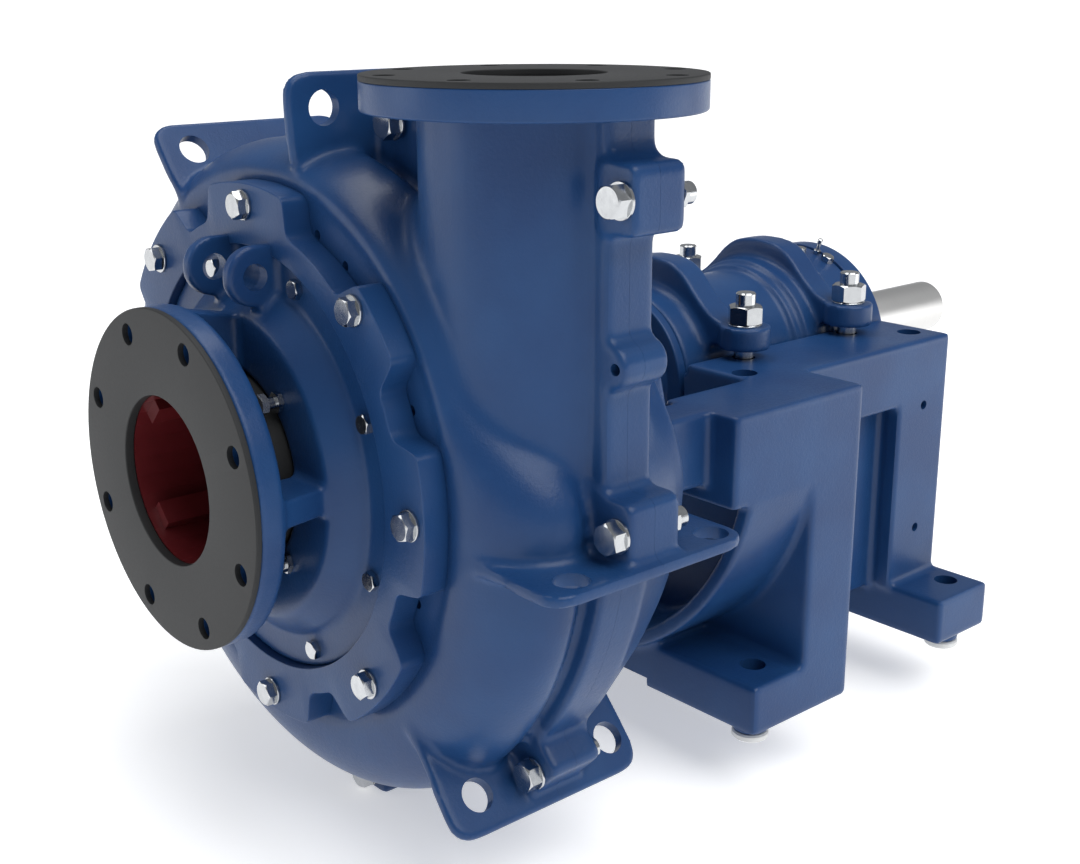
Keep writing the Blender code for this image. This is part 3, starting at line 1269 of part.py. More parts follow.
def packing_set():
    """Lantern ring and packing rings from the throat outwards, and the setback where they end."""
    place_at = BOX_FRONT + BOX_THROAT_LENGTH + FIT_GAP
    inner, outer = SLEEVE_RADIUS + FIT_GAP, SLEEVE_RADIUS + PACKING_WIDTH
    ring("lantern_ring", place_at, place_at + LANTERN_WIDTH, inner + RUNNING_GAP, outer, BRONZE, INNER_SIDES)
    place_at += LANTERN_WIDTH + FIT_GAP
    for index in range(PACKING_RINGS):
        ring("packing_ring_%d" % (index + 1), place_at, place_at + PACKING_WIDTH, inner, outer, PACKING,
            INNER_SIDES)
        place_at += PACKING_WIDTH + FIT_GAP
    return place_at


def gland(start):
    """Follower that presses the packing, with an oval flange for its two studs."""
    flange_front = BOX_FRONT + BOX_LENGTH + 2 * RUNNING_GAP
    inner = (SLEEVE_RADIUS + RUNNING_GAP) / math.cos(math.pi / INNER_SIDES)
    outer = SLEEVE_RADIUS + PACKING_WIDTH
    rear = flange_front + GLAND_FLANGE_THICKNESS
    body = turned("gland", moved_along([
        (start, inner), (start, outer), (flange_front, outer), (flange_front, outer + GLAND_LOBE_RADIUS / 2),
        (rear, outer + GLAND_LOBE_RADIUS / 2), (rear, inner),
    ]), BRONZE, INNER_SIDES)
    bm = bmesh.new()
    for side in (-1, 1):
        rim = arc((side * GLAND_STUD_CIRCLE, 0), GLAND_LOBE_RADIUS, -side * math.pi / 2, side * math.pi / 2,
            8)
        root = side * outer
        half = outer * GLAND_WAIST_SHARE
        outline = rim + [(root, side * half), (root, -side * half)]
        add_prism(bm, outline if side > 0 else outline[::-1], GLAND_FLANGE_THICKNESS,
            across_shaft(along(flange_front)))
    join(body, made("gland_lobes", bm, BRONZE))
    bm = bmesh.new()
    for side in (-1, 1):
        start_at = (along(flange_front) - CUT_OVERRUN, side * GLAND_STUD_CIRCLE, 0)
        add_drill(bm, start_at, AXES["X"], GLAND_FLANGE_THICKNESS + 2 * CUT_OVERRUN,
            GLAND_STUD_RADIUS + RUNNING_GAP / 2)
    return cut(body, made("gland_holes", bm))


def gland_stud(index, side):
    bm = bmesh.new()
    start = BOX_FRONT + BOX_LENGTH - BOX_FLANGE_THICKNESS
    add_rod(bm, (along(start), side * GLAND_STUD_CIRCLE, 0), AXES["X"], GLAND_STUD_LENGTH, GLAND_STUD_RADIUS)
    return made("gland_stud_%d" % index, bm, ZINC)


def stadium(centre, radius, stretch, steps):
    """Rounded slot outline, stretched towards -X by stretch."""
    right = arc(centre, radius, -math.pi / 2, math.pi / 2, steps)
    left = arc((centre[0] - stretch, centre[1]), radius, math.pi / 2, math.pi * 1.5, steps)
    return right + left


def bearing_housing():
    """Barrel with two cradle brackets, bored through."""
    rear_step = REAR_BAND_FRONT - 2 * EDGE_ROUND
    outer_race = BEARING_OUTER_RADIUS + FIT_GAP
    housing = turned("bearing_housing", moved_along([
        (BARREL_FRONT, outer_race), (BARREL_FRONT, BARREL_RADIUS), (rear_step, BARREL_RADIUS),
        (REAR_BAND_FRONT, REAR_BAND_RADIUS), (BARREL_REAR, REAR_BAND_RADIUS), (BARREL_REAR, outer_race),
    ]), PAINT)
    edge = HOLD_DOWN_Y
    for label, centre in (("front", FRONT_RACE_SETBACK), ("rear", REAR_RACE_SETBACK)):
        tops = [(share * BARREL_RADIUS, height * CRADLE_HEIGHT) for share, height in HUMP_HEIGHT_SHARES]
        tops += [(HUMP_FOOT_SHARE * BARREL_RADIUS, CRADLE_EAR_TOP), (edge, CRADLE_EAR_TOP),
            (edge, CRADLE_EAR_BOTTOM)]
        outline = [(-y, z) for y, z in tops[:0:-1]] + tops
        bm = bmesh.new()
        add_prism(bm, outline[::-1], CRADLE_WIDTH, across_shaft(along(centre - CRADLE_WIDTH / 2)))
        join(housing, made(label + "_hump", bm, PAINT))
        bm = bmesh.new()
        for side in (-1, 1):
            start = (along(centre), side * HOLD_DOWN_Y, CRADLE_EAR_BOTTOM)
            add_rod(bm, start, AXES["Z"], CRADLE_EAR_TOP - CRADLE_EAR_BOTTOM, CRADLE_EAR_RADIUS, ROUND_SIDES)
        join(housing, made(label + "_ears", bm, PAINT))
        bm = bmesh.new()
        for side in (-1, 1):
            outline = stadium((along(centre), side * HOLD_DOWN_Y), HOLD_DOWN_RADIUS + RUNNING_GAP,
                CARTRIDGE_TRAVEL, 8)
            depth = CRADLE_EAR_TOP - CRADLE_EAR_BOTTOM + 2 * CUT_OVERRUN
            add_prism(bm, outline, depth, Matrix.Translation((0, 0, CRADLE_EAR_BOTTOM - CUT_OVERRUN)))
        cut(housing, made(label + "_slots", bm))
    bm = bmesh.new()
    lug_front, lug_rear = along(ADJUSTING_LUG_FRONT), along(ADJUSTING_LUG_FRONT + ADJUSTING_LUG_THICKNESS)
    foot = -ADJUSTING_SCREW_DROP - ADJUSTING_LUG_HALF_WIDTH
    add_box(bm, (lug_front, -ADJUSTING_LUG_HALF_WIDTH, foot),
        (lug_rear, ADJUSTING_LUG_HALF_WIDTH, -BARREL_RADIUS))
    join(housing, made("adjusting_lug", bm, PAINT))
    cut(housing, disc("barrel_bore", BARREL_FRONT - CUT_OVERRUN, BARREL_REAR + CUT_OVERRUN, outer_race))
    bm = bmesh.new()
    start = (lug_front - CUT_OVERRUN, 0, -ADJUSTING_SCREW_DROP)
    add_drill(bm, start, AXES["X"], ADJUSTING_LUG_THICKNESS + 2 * CUT_OVERRUN,
        ADJUSTING_SCREW_RADIUS + FIT_GAP)
    return cut(housing, made("adjusting_lug_hole", bm))


def adjusting_screw():
    """Moves the bearing housing along the pedestal: its head bears on the rear wall."""
    head = REAR_BULKHEAD_FRONT + REAR_BULKHEAD_THICKNESS + FIT_GAP + ADJUSTING_HEAD_HEIGHT
    start = (along(head), 0, -ADJUSTING_SCREW_DROP)
    length = head - ADJUSTING_LUG_FRONT + EDGE_ROUND
    return hex_bolt("adjusting_screw", start, -AXES["X"], ADJUSTING_SCREW_FLATS, ADJUSTING_HEAD_HEIGHT,
                    ADJUSTING_SCREW_RADIUS, length)


def end_covers():
    """Bolted covers that shut the barrel, tapered towards the shaft."""
    bore = SHAFT_BEARING_RADIUS + COVER_BORE_CLEARANCE
    spigot = BEARING_OUTER_RADIUS - FIT_GAP
    rear = BARREL_FRONT - FIT_GAP
    step = rear - FRONT_COVER_RIM
    front = BARREL_FRONT - FRONT_COVER_LENGTH
    turned("front_end_cover", moved_along([
        (front, bore), (front, FRONT_COVER_NOSE_RADIUS), (step, FRONT_COVER_RADIUS),
        (step, BARREL_RADIUS - RUNNING_GAP),
        (rear, BARREL_RADIUS - RUNNING_GAP), (rear, spigot), (rear + WASHER_RADIUS, spigot),
        (rear + WASHER_RADIUS, bore),
    ]), PAINT)
    near = BARREL_REAR + FIT_GAP
    end = BARREL_REAR + REAR_COVER_LENGTH
    turned("rear_end_cover", moved_along([
        (near - WASHER_RADIUS, bore), (near - WASHER_RADIUS, spigot), (near, spigot),
        (near, REAR_COVER_RADIUS),
        (near + REAR_COVER_RIM, REAR_COVER_RADIUS), (end, REAR_COVER_LIP_RADIUS),
        (end, SHAFT_END_RADIUS + RUNNING_GAP),
        (end - REAR_COVER_RIM, SHAFT_END_RADIUS + RUNNING_GAP), (end - REAR_COVER_RIM, bore),
    ]), PAINT)


def bearing(label, centre):
    """Outer race, inner race, and a cage with its rollers as one piece."""
    half = BEARING_WIDTH / 2
    front, rear = centre - half, centre + half
    bore = SHAFT_BEARING_RADIUS + FIT_GAP
    thickness = (BEARING_OUTER_RADIUS - bore) * RACE_THICKNESS_SHARE
    ring(label + "_outer_race", front, rear, BEARING_OUTER_RADIUS - thickness, BEARING_OUTER_RADIUS,
        BEARING_STEEL, INNER_SIDES)
    raceway = bore / math.cos(math.pi / INNER_SIDES) + thickness
    ring(label + "_inner_race", front, rear, bore, raceway, BEARING_STEEL, INNER_SIDES)
    inner, outer = raceway + FIT_GAP, BEARING_OUTER_RADIUS - thickness - FIT_GAP
    pitch, roller = (inner + outer) / 2, (outer - inner) / 2
    cage = ring(label + "_roller_cage", front + EDGE_ROUND, front + 2 * EDGE_ROUND,
        pitch - roller * CAGE_BAR_SHARE,
                pitch + roller * CAGE_BAR_SHARE, BRONZE, INNER_SIDES)
    bm = bmesh.new()
    for index in range(ROLLER_COUNT):
        y, z = round_shaft(pitch, index * math.tau / ROLLER_COUNT)
        add_rod(bm, (along(front + ROLLER_INSET), y, z), AXES["X"], BEARING_WIDTH - 2 * ROLLER_INSET, roller,
            ROLLER_SIDES)
    return join(cage, made(label + "_rollers", bm, BEARING_STEEL))


def hold_down(index, centre, side):
    """Stud in the pedestal with its nut and washer on the housing's ear."""
    y = side * HOLD_DOWN_Y
    low = RAIL_TOP - HOLD_DOWN_DEPTH + CUT_OVERRUN
    stud = upright("hold_down_%d" % index, along(centre), y, low, HOLD_DOWN_TOP, HOLD_DOWN_RADIUS, ZINC,
        BOLT_SIDES)
    bm = bmesh.new()
    washer = CRADLE_EAR_TOP + FIT_GAP
    add_rod(bm, (along(centre), y, washer), AXES["Z"], WASHER_THICKNESS, HOLD_DOWN_FLATS * WASHER_SHARE,
        ROUND_SIDES)
    join(stud, made(stud.name + "_washer", bm))
    bm = bmesh.new()
    nut = (along(centre), y, washer + WASHER_THICKNESS - FUSE_LAP)
    add_rod(bm, nut, AXES["Z"], HOLD_DOWN_NUT_HEIGHT, HOLD_DOWN_FLATS / math.sqrt(3), 6)
    return join(stud, made(stud.name + "_nut", bm))


def pedestal_half(bm_list, side):
    """Boxes of one side of the frame, listed so that each is joined by itself."""
    def box(s_front, s_rear, y_in, y_out, z_low, z_high):
        bm = bmesh.new()
        ys = sorted((side * y_in, side * y_out))
        add_box(bm, (along(s_front), ys[0], z_low), (along(s_rear), ys[1], z_high))
        bm_list.append(bm)
    foot_top = FLOOR_Z + FOOT_HEIGHT
    lap = EDGE_ROUND
    box(ADAPTER_FRONT + lap, FRAME_FRONT + 2 * lap, ARM_FACE_Y - ARM_THICKNESS, ARM_FACE_Y, ARM_BOTTOM_Z,
        RAIL_TOP)
    box(FRAME_FRONT, LEG_REAR, POST_FACE_Y - SKIRT_THICKNESS, LEG_FACE_Y, SIDE_BLOCK_FOOT_Z, RAIL_TOP)
    box(LEG_STRIP_FRONT, LEG_REAR, LEG_FACE_Y - LEG_WALL, LEG_FACE_Y, foot_top - lap, SIDE_BLOCK_FOOT_Z + lap)
    box(LEG_STRIP_FRONT, FRAME_REAR, RAIL_INNER_Y, POST_FACE_Y, RAIL_TOP - RAIL_THICKNESS, RAIL_TOP)
    box(LEG_REAR - lap, FRAME_REAR, POST_FACE_Y - SKIRT_THICKNESS, POST_FACE_Y, SKIRT_BOTTOM_Z, RAIL_TOP)
    box(POST_FRONT, FRAME_REAR, POST_FACE_Y - SKIRT_THICKNESS, POST_FACE_Y, foot_top - lap,
        SKIRT_BOTTOM_Z + lap)
    box(LEG_STRIP_FRONT + lap, FRAME_REAR - lap, WEB_PANEL_Y - WEB_PANEL_THICKNESS, WEB_PANEL_Y,
        foot_top - 2 * lap,
        RAIL_TOP - RAIL_THICKNESS + lap)
    for centre in (FRONT_RACE_SETBACK, REAR_RACE_SETBACK):
        bm = bmesh.new()
        start = (along(centre), side * HOLD_DOWN_Y, RAIL_TOP - lap)
        add_rod(bm, start, AXES["Z"], CRADLE_EAR_BOTTOM - FIT_GAP - RAIL_TOP + lap, CRADLE_EAR_RADIUS,
            ROUND_SIDES)
        bm_list.append(bm)
        bm = bmesh.new()
        start = (along(centre), side * HOLD_DOWN_Y, RAIL_TOP - HOLD_DOWN_DEPTH)
        add_rod(bm, start, AXES["Z"], HOLD_DOWN_DEPTH - lap, HOLD_DOWN_FLATS / 2, BOLT_SIDES)
        bm_list.append(bm)


def pedestal_frame():
    """Casing ring, front arms, legs with the half-round shell between them, rails, posts, feet and walls."""
    frame = ring("pedestal_frame", ADAPTER_FRONT, ADAPTER_FRONT + ADAPTER_THICKNESS, ADAPTER_BORE_RADIUS,
        ADAPTER_RADIUS, PAINT)
    shapes = []
    for side in (-1, 1):
        pedestal_half(shapes, side)
    for front, rear, half_y, low, high in (
        (FRONT_FOOT_FRONT, LEG_REAR, LEG_FACE_Y, FLOOR_Z, FLOOR_Z + FOOT_HEIGHT),
        (REAR_FOOT_FRONT, REAR_FOOT_REAR, REAR_FOOT_FACE_Y, FLOOR_Z, FLOOR_Z + FOOT_HEIGHT),
        (LEG_STRIP_FRONT, LEG_STRIP_FRONT + BULKHEAD_THICKNESS, LEG_FACE_Y - LEG_WALL / 2,
            FLOOR_Z + EDGE_ROUND,
         RAIL_TOP - RAIL_THICKNESS / 2),
        (REAR_BULKHEAD_FRONT, REAR_BULKHEAD_FRONT + REAR_BULKHEAD_THICKNESS,
            WEB_PANEL_Y - WEB_PANEL_THICKNESS / 2,
         FLOOR_Z + EDGE_ROUND, RAIL_TOP - RAIL_THICKNESS / 2),
    ):
        bm = bmesh.new()
        add_box(bm, (along(front), -half_y, low), (along(rear), half_y, high))
        shapes.append(bm)
    shell_rear = LEG_STRIP_FRONT + EDGE_ROUND
    shell = ring("cradle_shell", CRADLE_RING_FRONT, shell_rear, CRADLE_RING_RADIUS - CRADLE_RING_WALL,
        CRADLE_RING_RADIUS,
                 PAINT)
    bm = bmesh.new()
    reach = 2 * CRADLE_RING_RADIUS
    top = SIDE_BLOCK_FOOT_Z + EDGE_ROUND
    add_box(bm, (along(CRADLE_RING_FRONT) - CUT_OVERRUN, -reach, top),
        (along(shell_rear) + CUT_OVERRUN, reach, reach))
    cut(shell, made("shell_top", bm))
    join(frame, *[made("frame_shape_%d" % index, shape, PAINT) for index, shape in enumerate(shapes)], shell)
    barrel_room = REAR_BAND_RADIUS + 2 * RUNNING_GAP
    cut(frame, disc("barrel_room", FRAME_FRONT, FRAME_REAR + CUT_OVERRUN, barrel_room))
    return cut(frame, frame_holes(), foot_relief())


def foot_relief():
    bm = bmesh.new()
    for front, rear in ((FRONT_FOOT_FRONT, LEG_REAR), (REAR_FOOT_FRONT, REAR_FOOT_REAR)):
        low = (along(front) - CUT_OVERRUN, -FOOT_RELIEF_Y, FLOOR_Z - CUT_OVERRUN)
        add_box(bm, low, (along(rear) + CUT_OVERRUN, FOOT_RELIEF_Y, FLOOR_Z + FOOT_RELIEF))
    return made("foot_relief", bm)


def frame_holes():
    bm = bmesh.new()
    for side in (-1, 1):
        for s in (FRONT_FOOT_HOLE, REAR_FOOT_HOLE):
            start = (along(s), side * FOOT_HOLE_Y, FLOOR_Z - CUT_OVERRUN)
            add_drill(bm, start, AXES["Z"], FOOT_HEIGHT + 2 * CUT_OVERRUN, FOOT_HOLE_RADIUS)
        for s in (FRONT_RAIL_HOLE, REAR_RAIL_HOLE):
            start = (along(s), side * RAIL_HOLE_Y, RAIL_TOP - RAIL_THICKNESS / 2)
            add_drill(bm, start, AXES["Z"], RAIL_THICKNESS, RAIL_HOLE_RADIUS)
        for z in POST_HOLES_Z:
            start = (along(POST_HOLE), side * (POST_FACE_Y + CUT_OVERRUN), z)
            add_drill(bm, start, -side * AXES["Y"], SKIRT_THICKNESS / 2 + CUT_OVERRUN, POST_HOLE_RADIUS)
        for s in (FRONT_RACE_SETBACK, REAR_RACE_SETBACK):
            start = (along(s), side * HOLD_DOWN_Y, RAIL_TOP - HOLD_DOWN_DEPTH + CUT_OVERRUN / 2)
            add_drill(bm, start, AXES["Z"], 2 * HOLD_DOWN_DEPTH, HOLD_DOWN_RADIUS + FIT_GAP, BOLT_SIDES)
    start = (along(REAR_BULKHEAD_FRONT) - CUT_OVERRUN, 0, -ADJUSTING_SCREW_DROP)
    add_drill(bm, start, AXES["X"], REAR_BULKHEAD_THICKNESS + 2 * CUT_OVERRUN,
        ADJUSTING_SCREW_RADIUS + RUNNING_GAP)
    return made("frame_holes", bm)


def foot_pad(index, s, side):
    bm = bmesh.new()
    top = (along(s), side * FOOT_HOLE_Y, FLOOR_Z - FIT_GAP)
    add_rod(bm, top, -AXES["Z"], PAD_HEIGHT, PAD_RADIUS, ROUND_SIDES)
    return made("foot_pad_%d" % index, bm, NYLON)


def build_wet_end():
    casing_half("casing_front", True)
    casing_half("casing_back", False)
    liner_half("front_liner", True)
    liner_half("back_liner", False)
    side_liner()
    suction_cover()
    suction_spool()
    suction_sleeve()
    intake_liner()
    discharge_gasket()
    _, ring_front = wear_ring()
    for index in range(RIB_COUNT):
        adjuster_bolt(index, ring_front)
    for index in range(COVER_BOLTS):
        cover_bolt(index)
    for index, place_yz in enumerate(parting_bolt_places()):
        parting_bolt(index, place_yz)


def build_rotor_and_gland():
    impeller()
    shaft()
    shaft_sleeve()
    stuffing_box()
    gland(packing_set())
    gland_stud(1, -1)
    gland_stud(2, 1)


def build_drive_end():
    bearing_housing()
    adjusting_screw()
    end_covers()
    bearing("front", FRONT_RACE_SETBACK)
    bearing("rear", REAR_RACE_SETBACK)
    pedestal_frame()
    index = 0
    for centre, foot in ((FRONT_RACE_SETBACK, FRONT_FOOT_HOLE), (REAR_RACE_SETBACK, REAR_FOOT_HOLE)):
        for side in (-1, 1):
            index += 1
            hold_down(index, centre, side)
            foot_pad(index, foot, side)


build_wet_end()
build_rotor_and_gland()
build_drive_end()
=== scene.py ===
"""Looks of the slurry pump: cast and painted shells, rubber facings, zinc fasteners, camera and soft light.

Metres, in the frame's own axes: +X along the shaft to its drive end, +Z up. A setback is a distance behind
the suction face. A clock angle goes from +Z towards -Y, as a clock face reads from the suction side.
"""

import json
import math

import bmesh
import bpy
from mathutils import Matrix, Vector


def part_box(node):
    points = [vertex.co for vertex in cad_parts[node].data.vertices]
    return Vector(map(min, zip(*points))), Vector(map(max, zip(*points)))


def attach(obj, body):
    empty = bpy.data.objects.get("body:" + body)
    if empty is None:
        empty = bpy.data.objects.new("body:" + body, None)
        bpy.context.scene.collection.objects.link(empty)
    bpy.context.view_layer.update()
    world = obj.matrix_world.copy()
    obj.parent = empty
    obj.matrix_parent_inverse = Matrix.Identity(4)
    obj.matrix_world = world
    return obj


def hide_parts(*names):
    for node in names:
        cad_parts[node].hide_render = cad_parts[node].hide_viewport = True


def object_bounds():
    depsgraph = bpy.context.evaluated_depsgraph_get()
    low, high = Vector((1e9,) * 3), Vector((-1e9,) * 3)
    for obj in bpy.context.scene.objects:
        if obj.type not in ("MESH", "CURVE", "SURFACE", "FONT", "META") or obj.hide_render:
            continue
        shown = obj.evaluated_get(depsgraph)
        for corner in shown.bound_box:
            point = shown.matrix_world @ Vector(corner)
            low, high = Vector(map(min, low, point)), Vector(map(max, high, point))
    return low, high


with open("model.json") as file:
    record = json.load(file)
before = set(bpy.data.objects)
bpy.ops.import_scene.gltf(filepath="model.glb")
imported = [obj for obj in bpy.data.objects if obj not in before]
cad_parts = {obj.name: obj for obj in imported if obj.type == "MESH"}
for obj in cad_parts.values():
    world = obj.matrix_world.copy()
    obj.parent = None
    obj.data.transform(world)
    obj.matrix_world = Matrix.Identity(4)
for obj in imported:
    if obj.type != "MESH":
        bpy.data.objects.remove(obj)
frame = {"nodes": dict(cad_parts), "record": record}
CAD_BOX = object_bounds()

SUCTION_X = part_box("suction_sleeve")[0].x
RIGHT = math.radians(90)

# Mesh fineness
TURN_STEPS = 120
LOFT_STEPS = 180
CORNER_STEPS = 5
BULGE_STEPS = 14
PIPE_STEPS = 96
BOSS_STEPS = 64
CAVITY_STEPS = 72
HOLE_STEPS = 40
HEX_STEPS = 48
NIPPLE_STEPS = 16
CAST_VOXEL = 0.0030
FINE_VOXEL = 0.0022
SHARP_ANGLE = math.radians(38)
BOLT_ANGLE = math.radians(20)
OVERRUN = 0.0060

# Gaps between pieces, turned edges and cast fillets
SPLIT_GAP = 0.0002
SEAT_GAP = 0.0003
RIM_GAP = 0.0004
EDGE = 0.0015
CAST_EDGE = 0.0030
VOLUTE_FILLET = 0.0110
HOUSING_FILLET = 0.0080
SPOOL_FILLET = 0.0035
FLANGE_FILLET = 0.0030
PEDESTAL_FILLET = 0.0025

# Suction flange and spool
FACING = 0.0060
FLANGE_R = 0.1715
FLANGE_REAR = 0.0323
BORE_R = 0.0856
NECK_R = 0.0985
NECK_BORE_R = 0.0930
NECK_END = 0.1180
LIP_END = 0.0100
SUCTION_CIRCLE = 0.14925
SUCTION_HOLE_R = 0.0111
FLANGE_HOLES = 8
DRUM_FRONT = 0.0840
DRUM_FRONT_R = 0.1590
DRUM_REAR = 0.1090
DRUM_REAR_R = 0.1840
DRUM_WALL = 0.0120
DRUM_THROAT_R = 0.1010
DRUM_FRONT_EDGE = 0.0060
DRUM_REAR_EDGE = 0.0040
CHAMBER_R = 0.1500
RING_FRONT = 0.1135
RING_REAR = 0.1275
RING_R = 0.2210
RING_BOLT_CIRCLE = 0.2030
RIB_WIDTH = 0.0270
RIB_ROOT = 0.0060
RIB_TOP_R = 0.1680
RIB_COUNT = 4
EAR_Y = 0.0392
EAR_Z = 0.1980
EAR_R = 0.0295
EAR_SETBACK = 0.0870
EAR_HOLE_R = 0.0132
EAR_THICKNESS = 0.0140
ADJUSTER_CIRCLE = 0.1170
ADJUSTER_HOLE_R = 0.0064

# Suction cover
COVER_FRONT = 0.1050
COVER_REAR = 0.1340
COVER_R = 0.2825
COVER_NOTCH_R = 0.2480
COVER_SPIGOT_R = 0.2400
COVER_SPIGOT_END = 0.1488
COVER_BORE_R = 0.1490
COVER_CIRCLE = 0.2610
COVER_BOLTS = 8
COVER_HOLE_R = 0.0085
COVER_TAPPING_R = 0.0083
TAPPING_DEPTH = 0.0200
LOBE_CORNER = 0.0110
NOTCH_CORNER = 0.0170
RIM_POINT_SPACING = 0.0040
# Degrees past a bolt where a notch's mouth starts, its floor starts, its floor ends and its mouth ends
FIRST_NOTCH = (14.5, 17.5, 38.8, 42.4)
NOTCH = (13.8, 17.3, 27.7, 31.2)
# Radius and degrees of the jack-screw holes: two in the wide notch, one in each other
JACK_PLACES = ((0.2525, 19.5), (0.2505, 31.3), *[(0.2480, 22.5 + 45 * k) for k in range(1, 8)])
JACK_R = 0.0050

# Casing
PARTING = 0.2555
RIM_R = 0.2875
CREST = 0.2000
BULGE_DROP = 0.0060
GROOVE_DROP = 0.0340
LIP_DROP = 0.0220
LIP_WIDTH = 0.0070
FLANGE_FRONT = 0.2290
FLANGE_BACK = 0.2860
BOSS_PROUD = 0.0040
TONGUE_R = 0.3220
VOLUTE_R = 0.3860
SPIRAL_END = math.radians(270)
SPIRAL_BLEND = math.radians(24)
BACK_CONE_END = 0.3520
BACK_CONE_DROP = 0.0320
BACK_FACE = 0.3950
BACK_SHOULDER_R = 0.2900
BACK_OPENING_R = 0.1450
BACK_BEND_LENGTH = 0.0100
BACK_BEND_RISE = 0.0120
CASING_WALL = 0.0160
CAVITY_FRONT_WALL = 0.0255
CAVITY_BACK_WALL = 0.0200
# Shares of the hollow's depth or height at which its rounded end bends
CAVITY_STRAIGHT, CAVITY_HAUNCH = 0.45, 0.12
CAVITY_HAUNCH_HEIGHT, CAVITY_SHOULDER_HEIGHT = 0.62, 0.25

# Discharge
OUTLET_Y = -0.2609
OUTLET_TOP = 0.3909
OUTLET_FACING = 0.0055
OUTLET_FLANGE_R = 0.1560
OUTLET_FLANGE_THICKNESS = 0.0270
OUTLET_CIRCLE = 0.1360
OUTLET_HOLE_R = 0.0101
OUTLET_BORE_R = 0.0650
NOZZLE_R = 0.1057
NOZZLE_BORE_R = 0.0907
NOZZLE_FOOT = -0.0600
NOZZLE_BORE_FOOT = 0.0060
OUTLET_HOLE_DEPTH = 0.0600
OUTLET_HOLE_LENGTH = 0.1000

# Parting web, bosses, bolts
WEB_Y = 0.3850
WEB_FOOT_Z = -0.0400
BOSS_OUT = 0.0350
BOSS_HALF = 0.0310
BOSS_CHAMFER = 0.0100
BOSS_DEPTH = 0.0500
DOWEL_Z = 0.1482
DOWEL_R = 0.0210
DOWEL_HOLE_R = 0.0055
WEB_BOLT_Z = 0.2940
TONGUE_BOLT = (-0.0898, 0.3377)
TONGUE_BOSS_UP = 0.8 * BOSS_HALF
TONGUE_BOSS_OUT = 0.9 * BOSS_HALF
PARTING_HOLE_R = 0.0110
PARTING_CIRCLE = 0.4052
PARTING_DEGREES = (90, 134)
LOW_DEGREES = (180, 225, 270)
LOW_INSET = 0.0195

# Lugs: the direction they point, how far they stand off the shaft's line, how far out the hole is, and the
# rim beyond the hole
LUGS = {
    "up_far": (math.radians(-36.2), 0.0, 0.3612, 0.0340),
    "up": (0.0, 0.0483, 0.3534, 0.0340),
    "side": (RIGHT, 0.0314, 0.4079, 0.0255),
    "down": (math.radians(137.9), 0.0, 0.3996, 0.0380),
}
LUG_FRONT = 0.1245
LUG_REAR = 0.3710
LUG_THICKNESS = 0.0120
LUG_CORNER = 0.0280
LUG_TIP_CORNER = 0.0100
LUG_TIP_DROP = 0.0880
LUG_TIP_INSET = 0.0065
LUG_HOLE_R = 0.0172
LUG_HOLE_SPREAD = 0.0876
LUG_ROOT_R = 0.3000

# Drive end
FRONT_BEARING = 0.6900
REAR_BEARING = 0.8880
BARREL_R = 0.1070
BARREL_FRONT = 0.6300
BARREL_REAR = 0.9600
REAR_BAND_R = 0.1150
REAR_BAND_FRONT = 0.8280
REAR_BAND_STEP = (0.8410, 0.8440)
REAR_BAND_HOLLOW = 0.0020
REAR_BAND_RISE = 0.0040
REAR_BAND_CORNER = 0.0020
REAR_END_R = 0.1250
REAR_COVER_R = 0.1270
REAR_ROOM = 0.9060
REAR_ROOM_R = 0.1290
RACE_SEAT_R = 0.0953
HOUSING_CORE_R = 0.0600
HUMP_WIDTH = 0.0400
HUMP_STEPS = 5
# Half width and height of a hump, from its top down to the ear
HUMP_HEIGHTS = ((0.0, 0.1440), (0.0210, 0.1428), (0.0400, 0.1380), (0.0570, 0.1265), (0.0740, 0.1090),
                (0.0900, 0.0945), (0.1060, 0.0845), (0.1240, 0.0785))
EAR_TOP_Z = 0.0775
EAR_BOTTOM_Z = 0.0500
FOOT_EAR_R = 0.0310
STUD_Y = 0.1406
STUD_TOP = 0.1170
STUD_FOOT = -0.0070
STUD_R = 0.0120
STUD_HOLE_R = 0.0130
STUD_SLOT = 0.0060
SCREW_BLOCK = (0.8850, 0.9070)
SCREW_BLOCK_HALF = 0.0220
SCREW_BLOCK_TOP = -0.1000
SCREW_HOLE_R = 0.0083
SCREW_HOLE_START = 0.8750
SCREW_HOLE_LENGTH = 0.0500
EAR_CUT_Z = 0.0300
EAR_CUT_HEIGHT = 0.0600
GREASE_FITTINGS = (
    # name, setback, degrees, width across flats, height
    ("grease_plug_1", 0.950, 25.8, 0.015, 0.009),
    ("grease_plug_2", 0.930, 11.8, 0.013, 0.008),
    ("grease_nipple", 0.950, 17.2, 0.009, 0.007),
)
FITTING_LAP = 0.0010
# Nipple: radius, foot, top and edge of its neck, which starts inside the hexagon, and of its head
NIPPLE_NECK = (0.0022, 0.0035, 0.0200, 0.0008)
NIPPLE_HEAD = (0.0036, 0.0150, 0.0230, 0.0015)

# Bearing covers: their bore, the spigot in the housing, then each face's place and radius from the front
SEAL_BORE_R = 0.0460
END_SPIGOT_R = 0.0950
FRONT_END_FACE = 0.5800
FRONT_END_NOSE_R = 0.0619
FRONT_END_STEP = 0.6172
FRONT_END_STEP_R = 0.0860
FRONT_END_R = 0.1060
FRONT_END_SEAT = 0.6297
FRONT_END_SPIGOT = 0.6482
REAR_END_SPIGOT = 0.9418
REAR_END_SEAT = 0.9603
REAR_END_BEND = 0.9880
REAR_END_BEND_EDGE = 0.0060
REAR_END_FACE = 1.0000
REAR_END_FACE_R = 0.1120
REAR_END_LIP = 0.9900
REAR_END_LIP_R = 0.0375

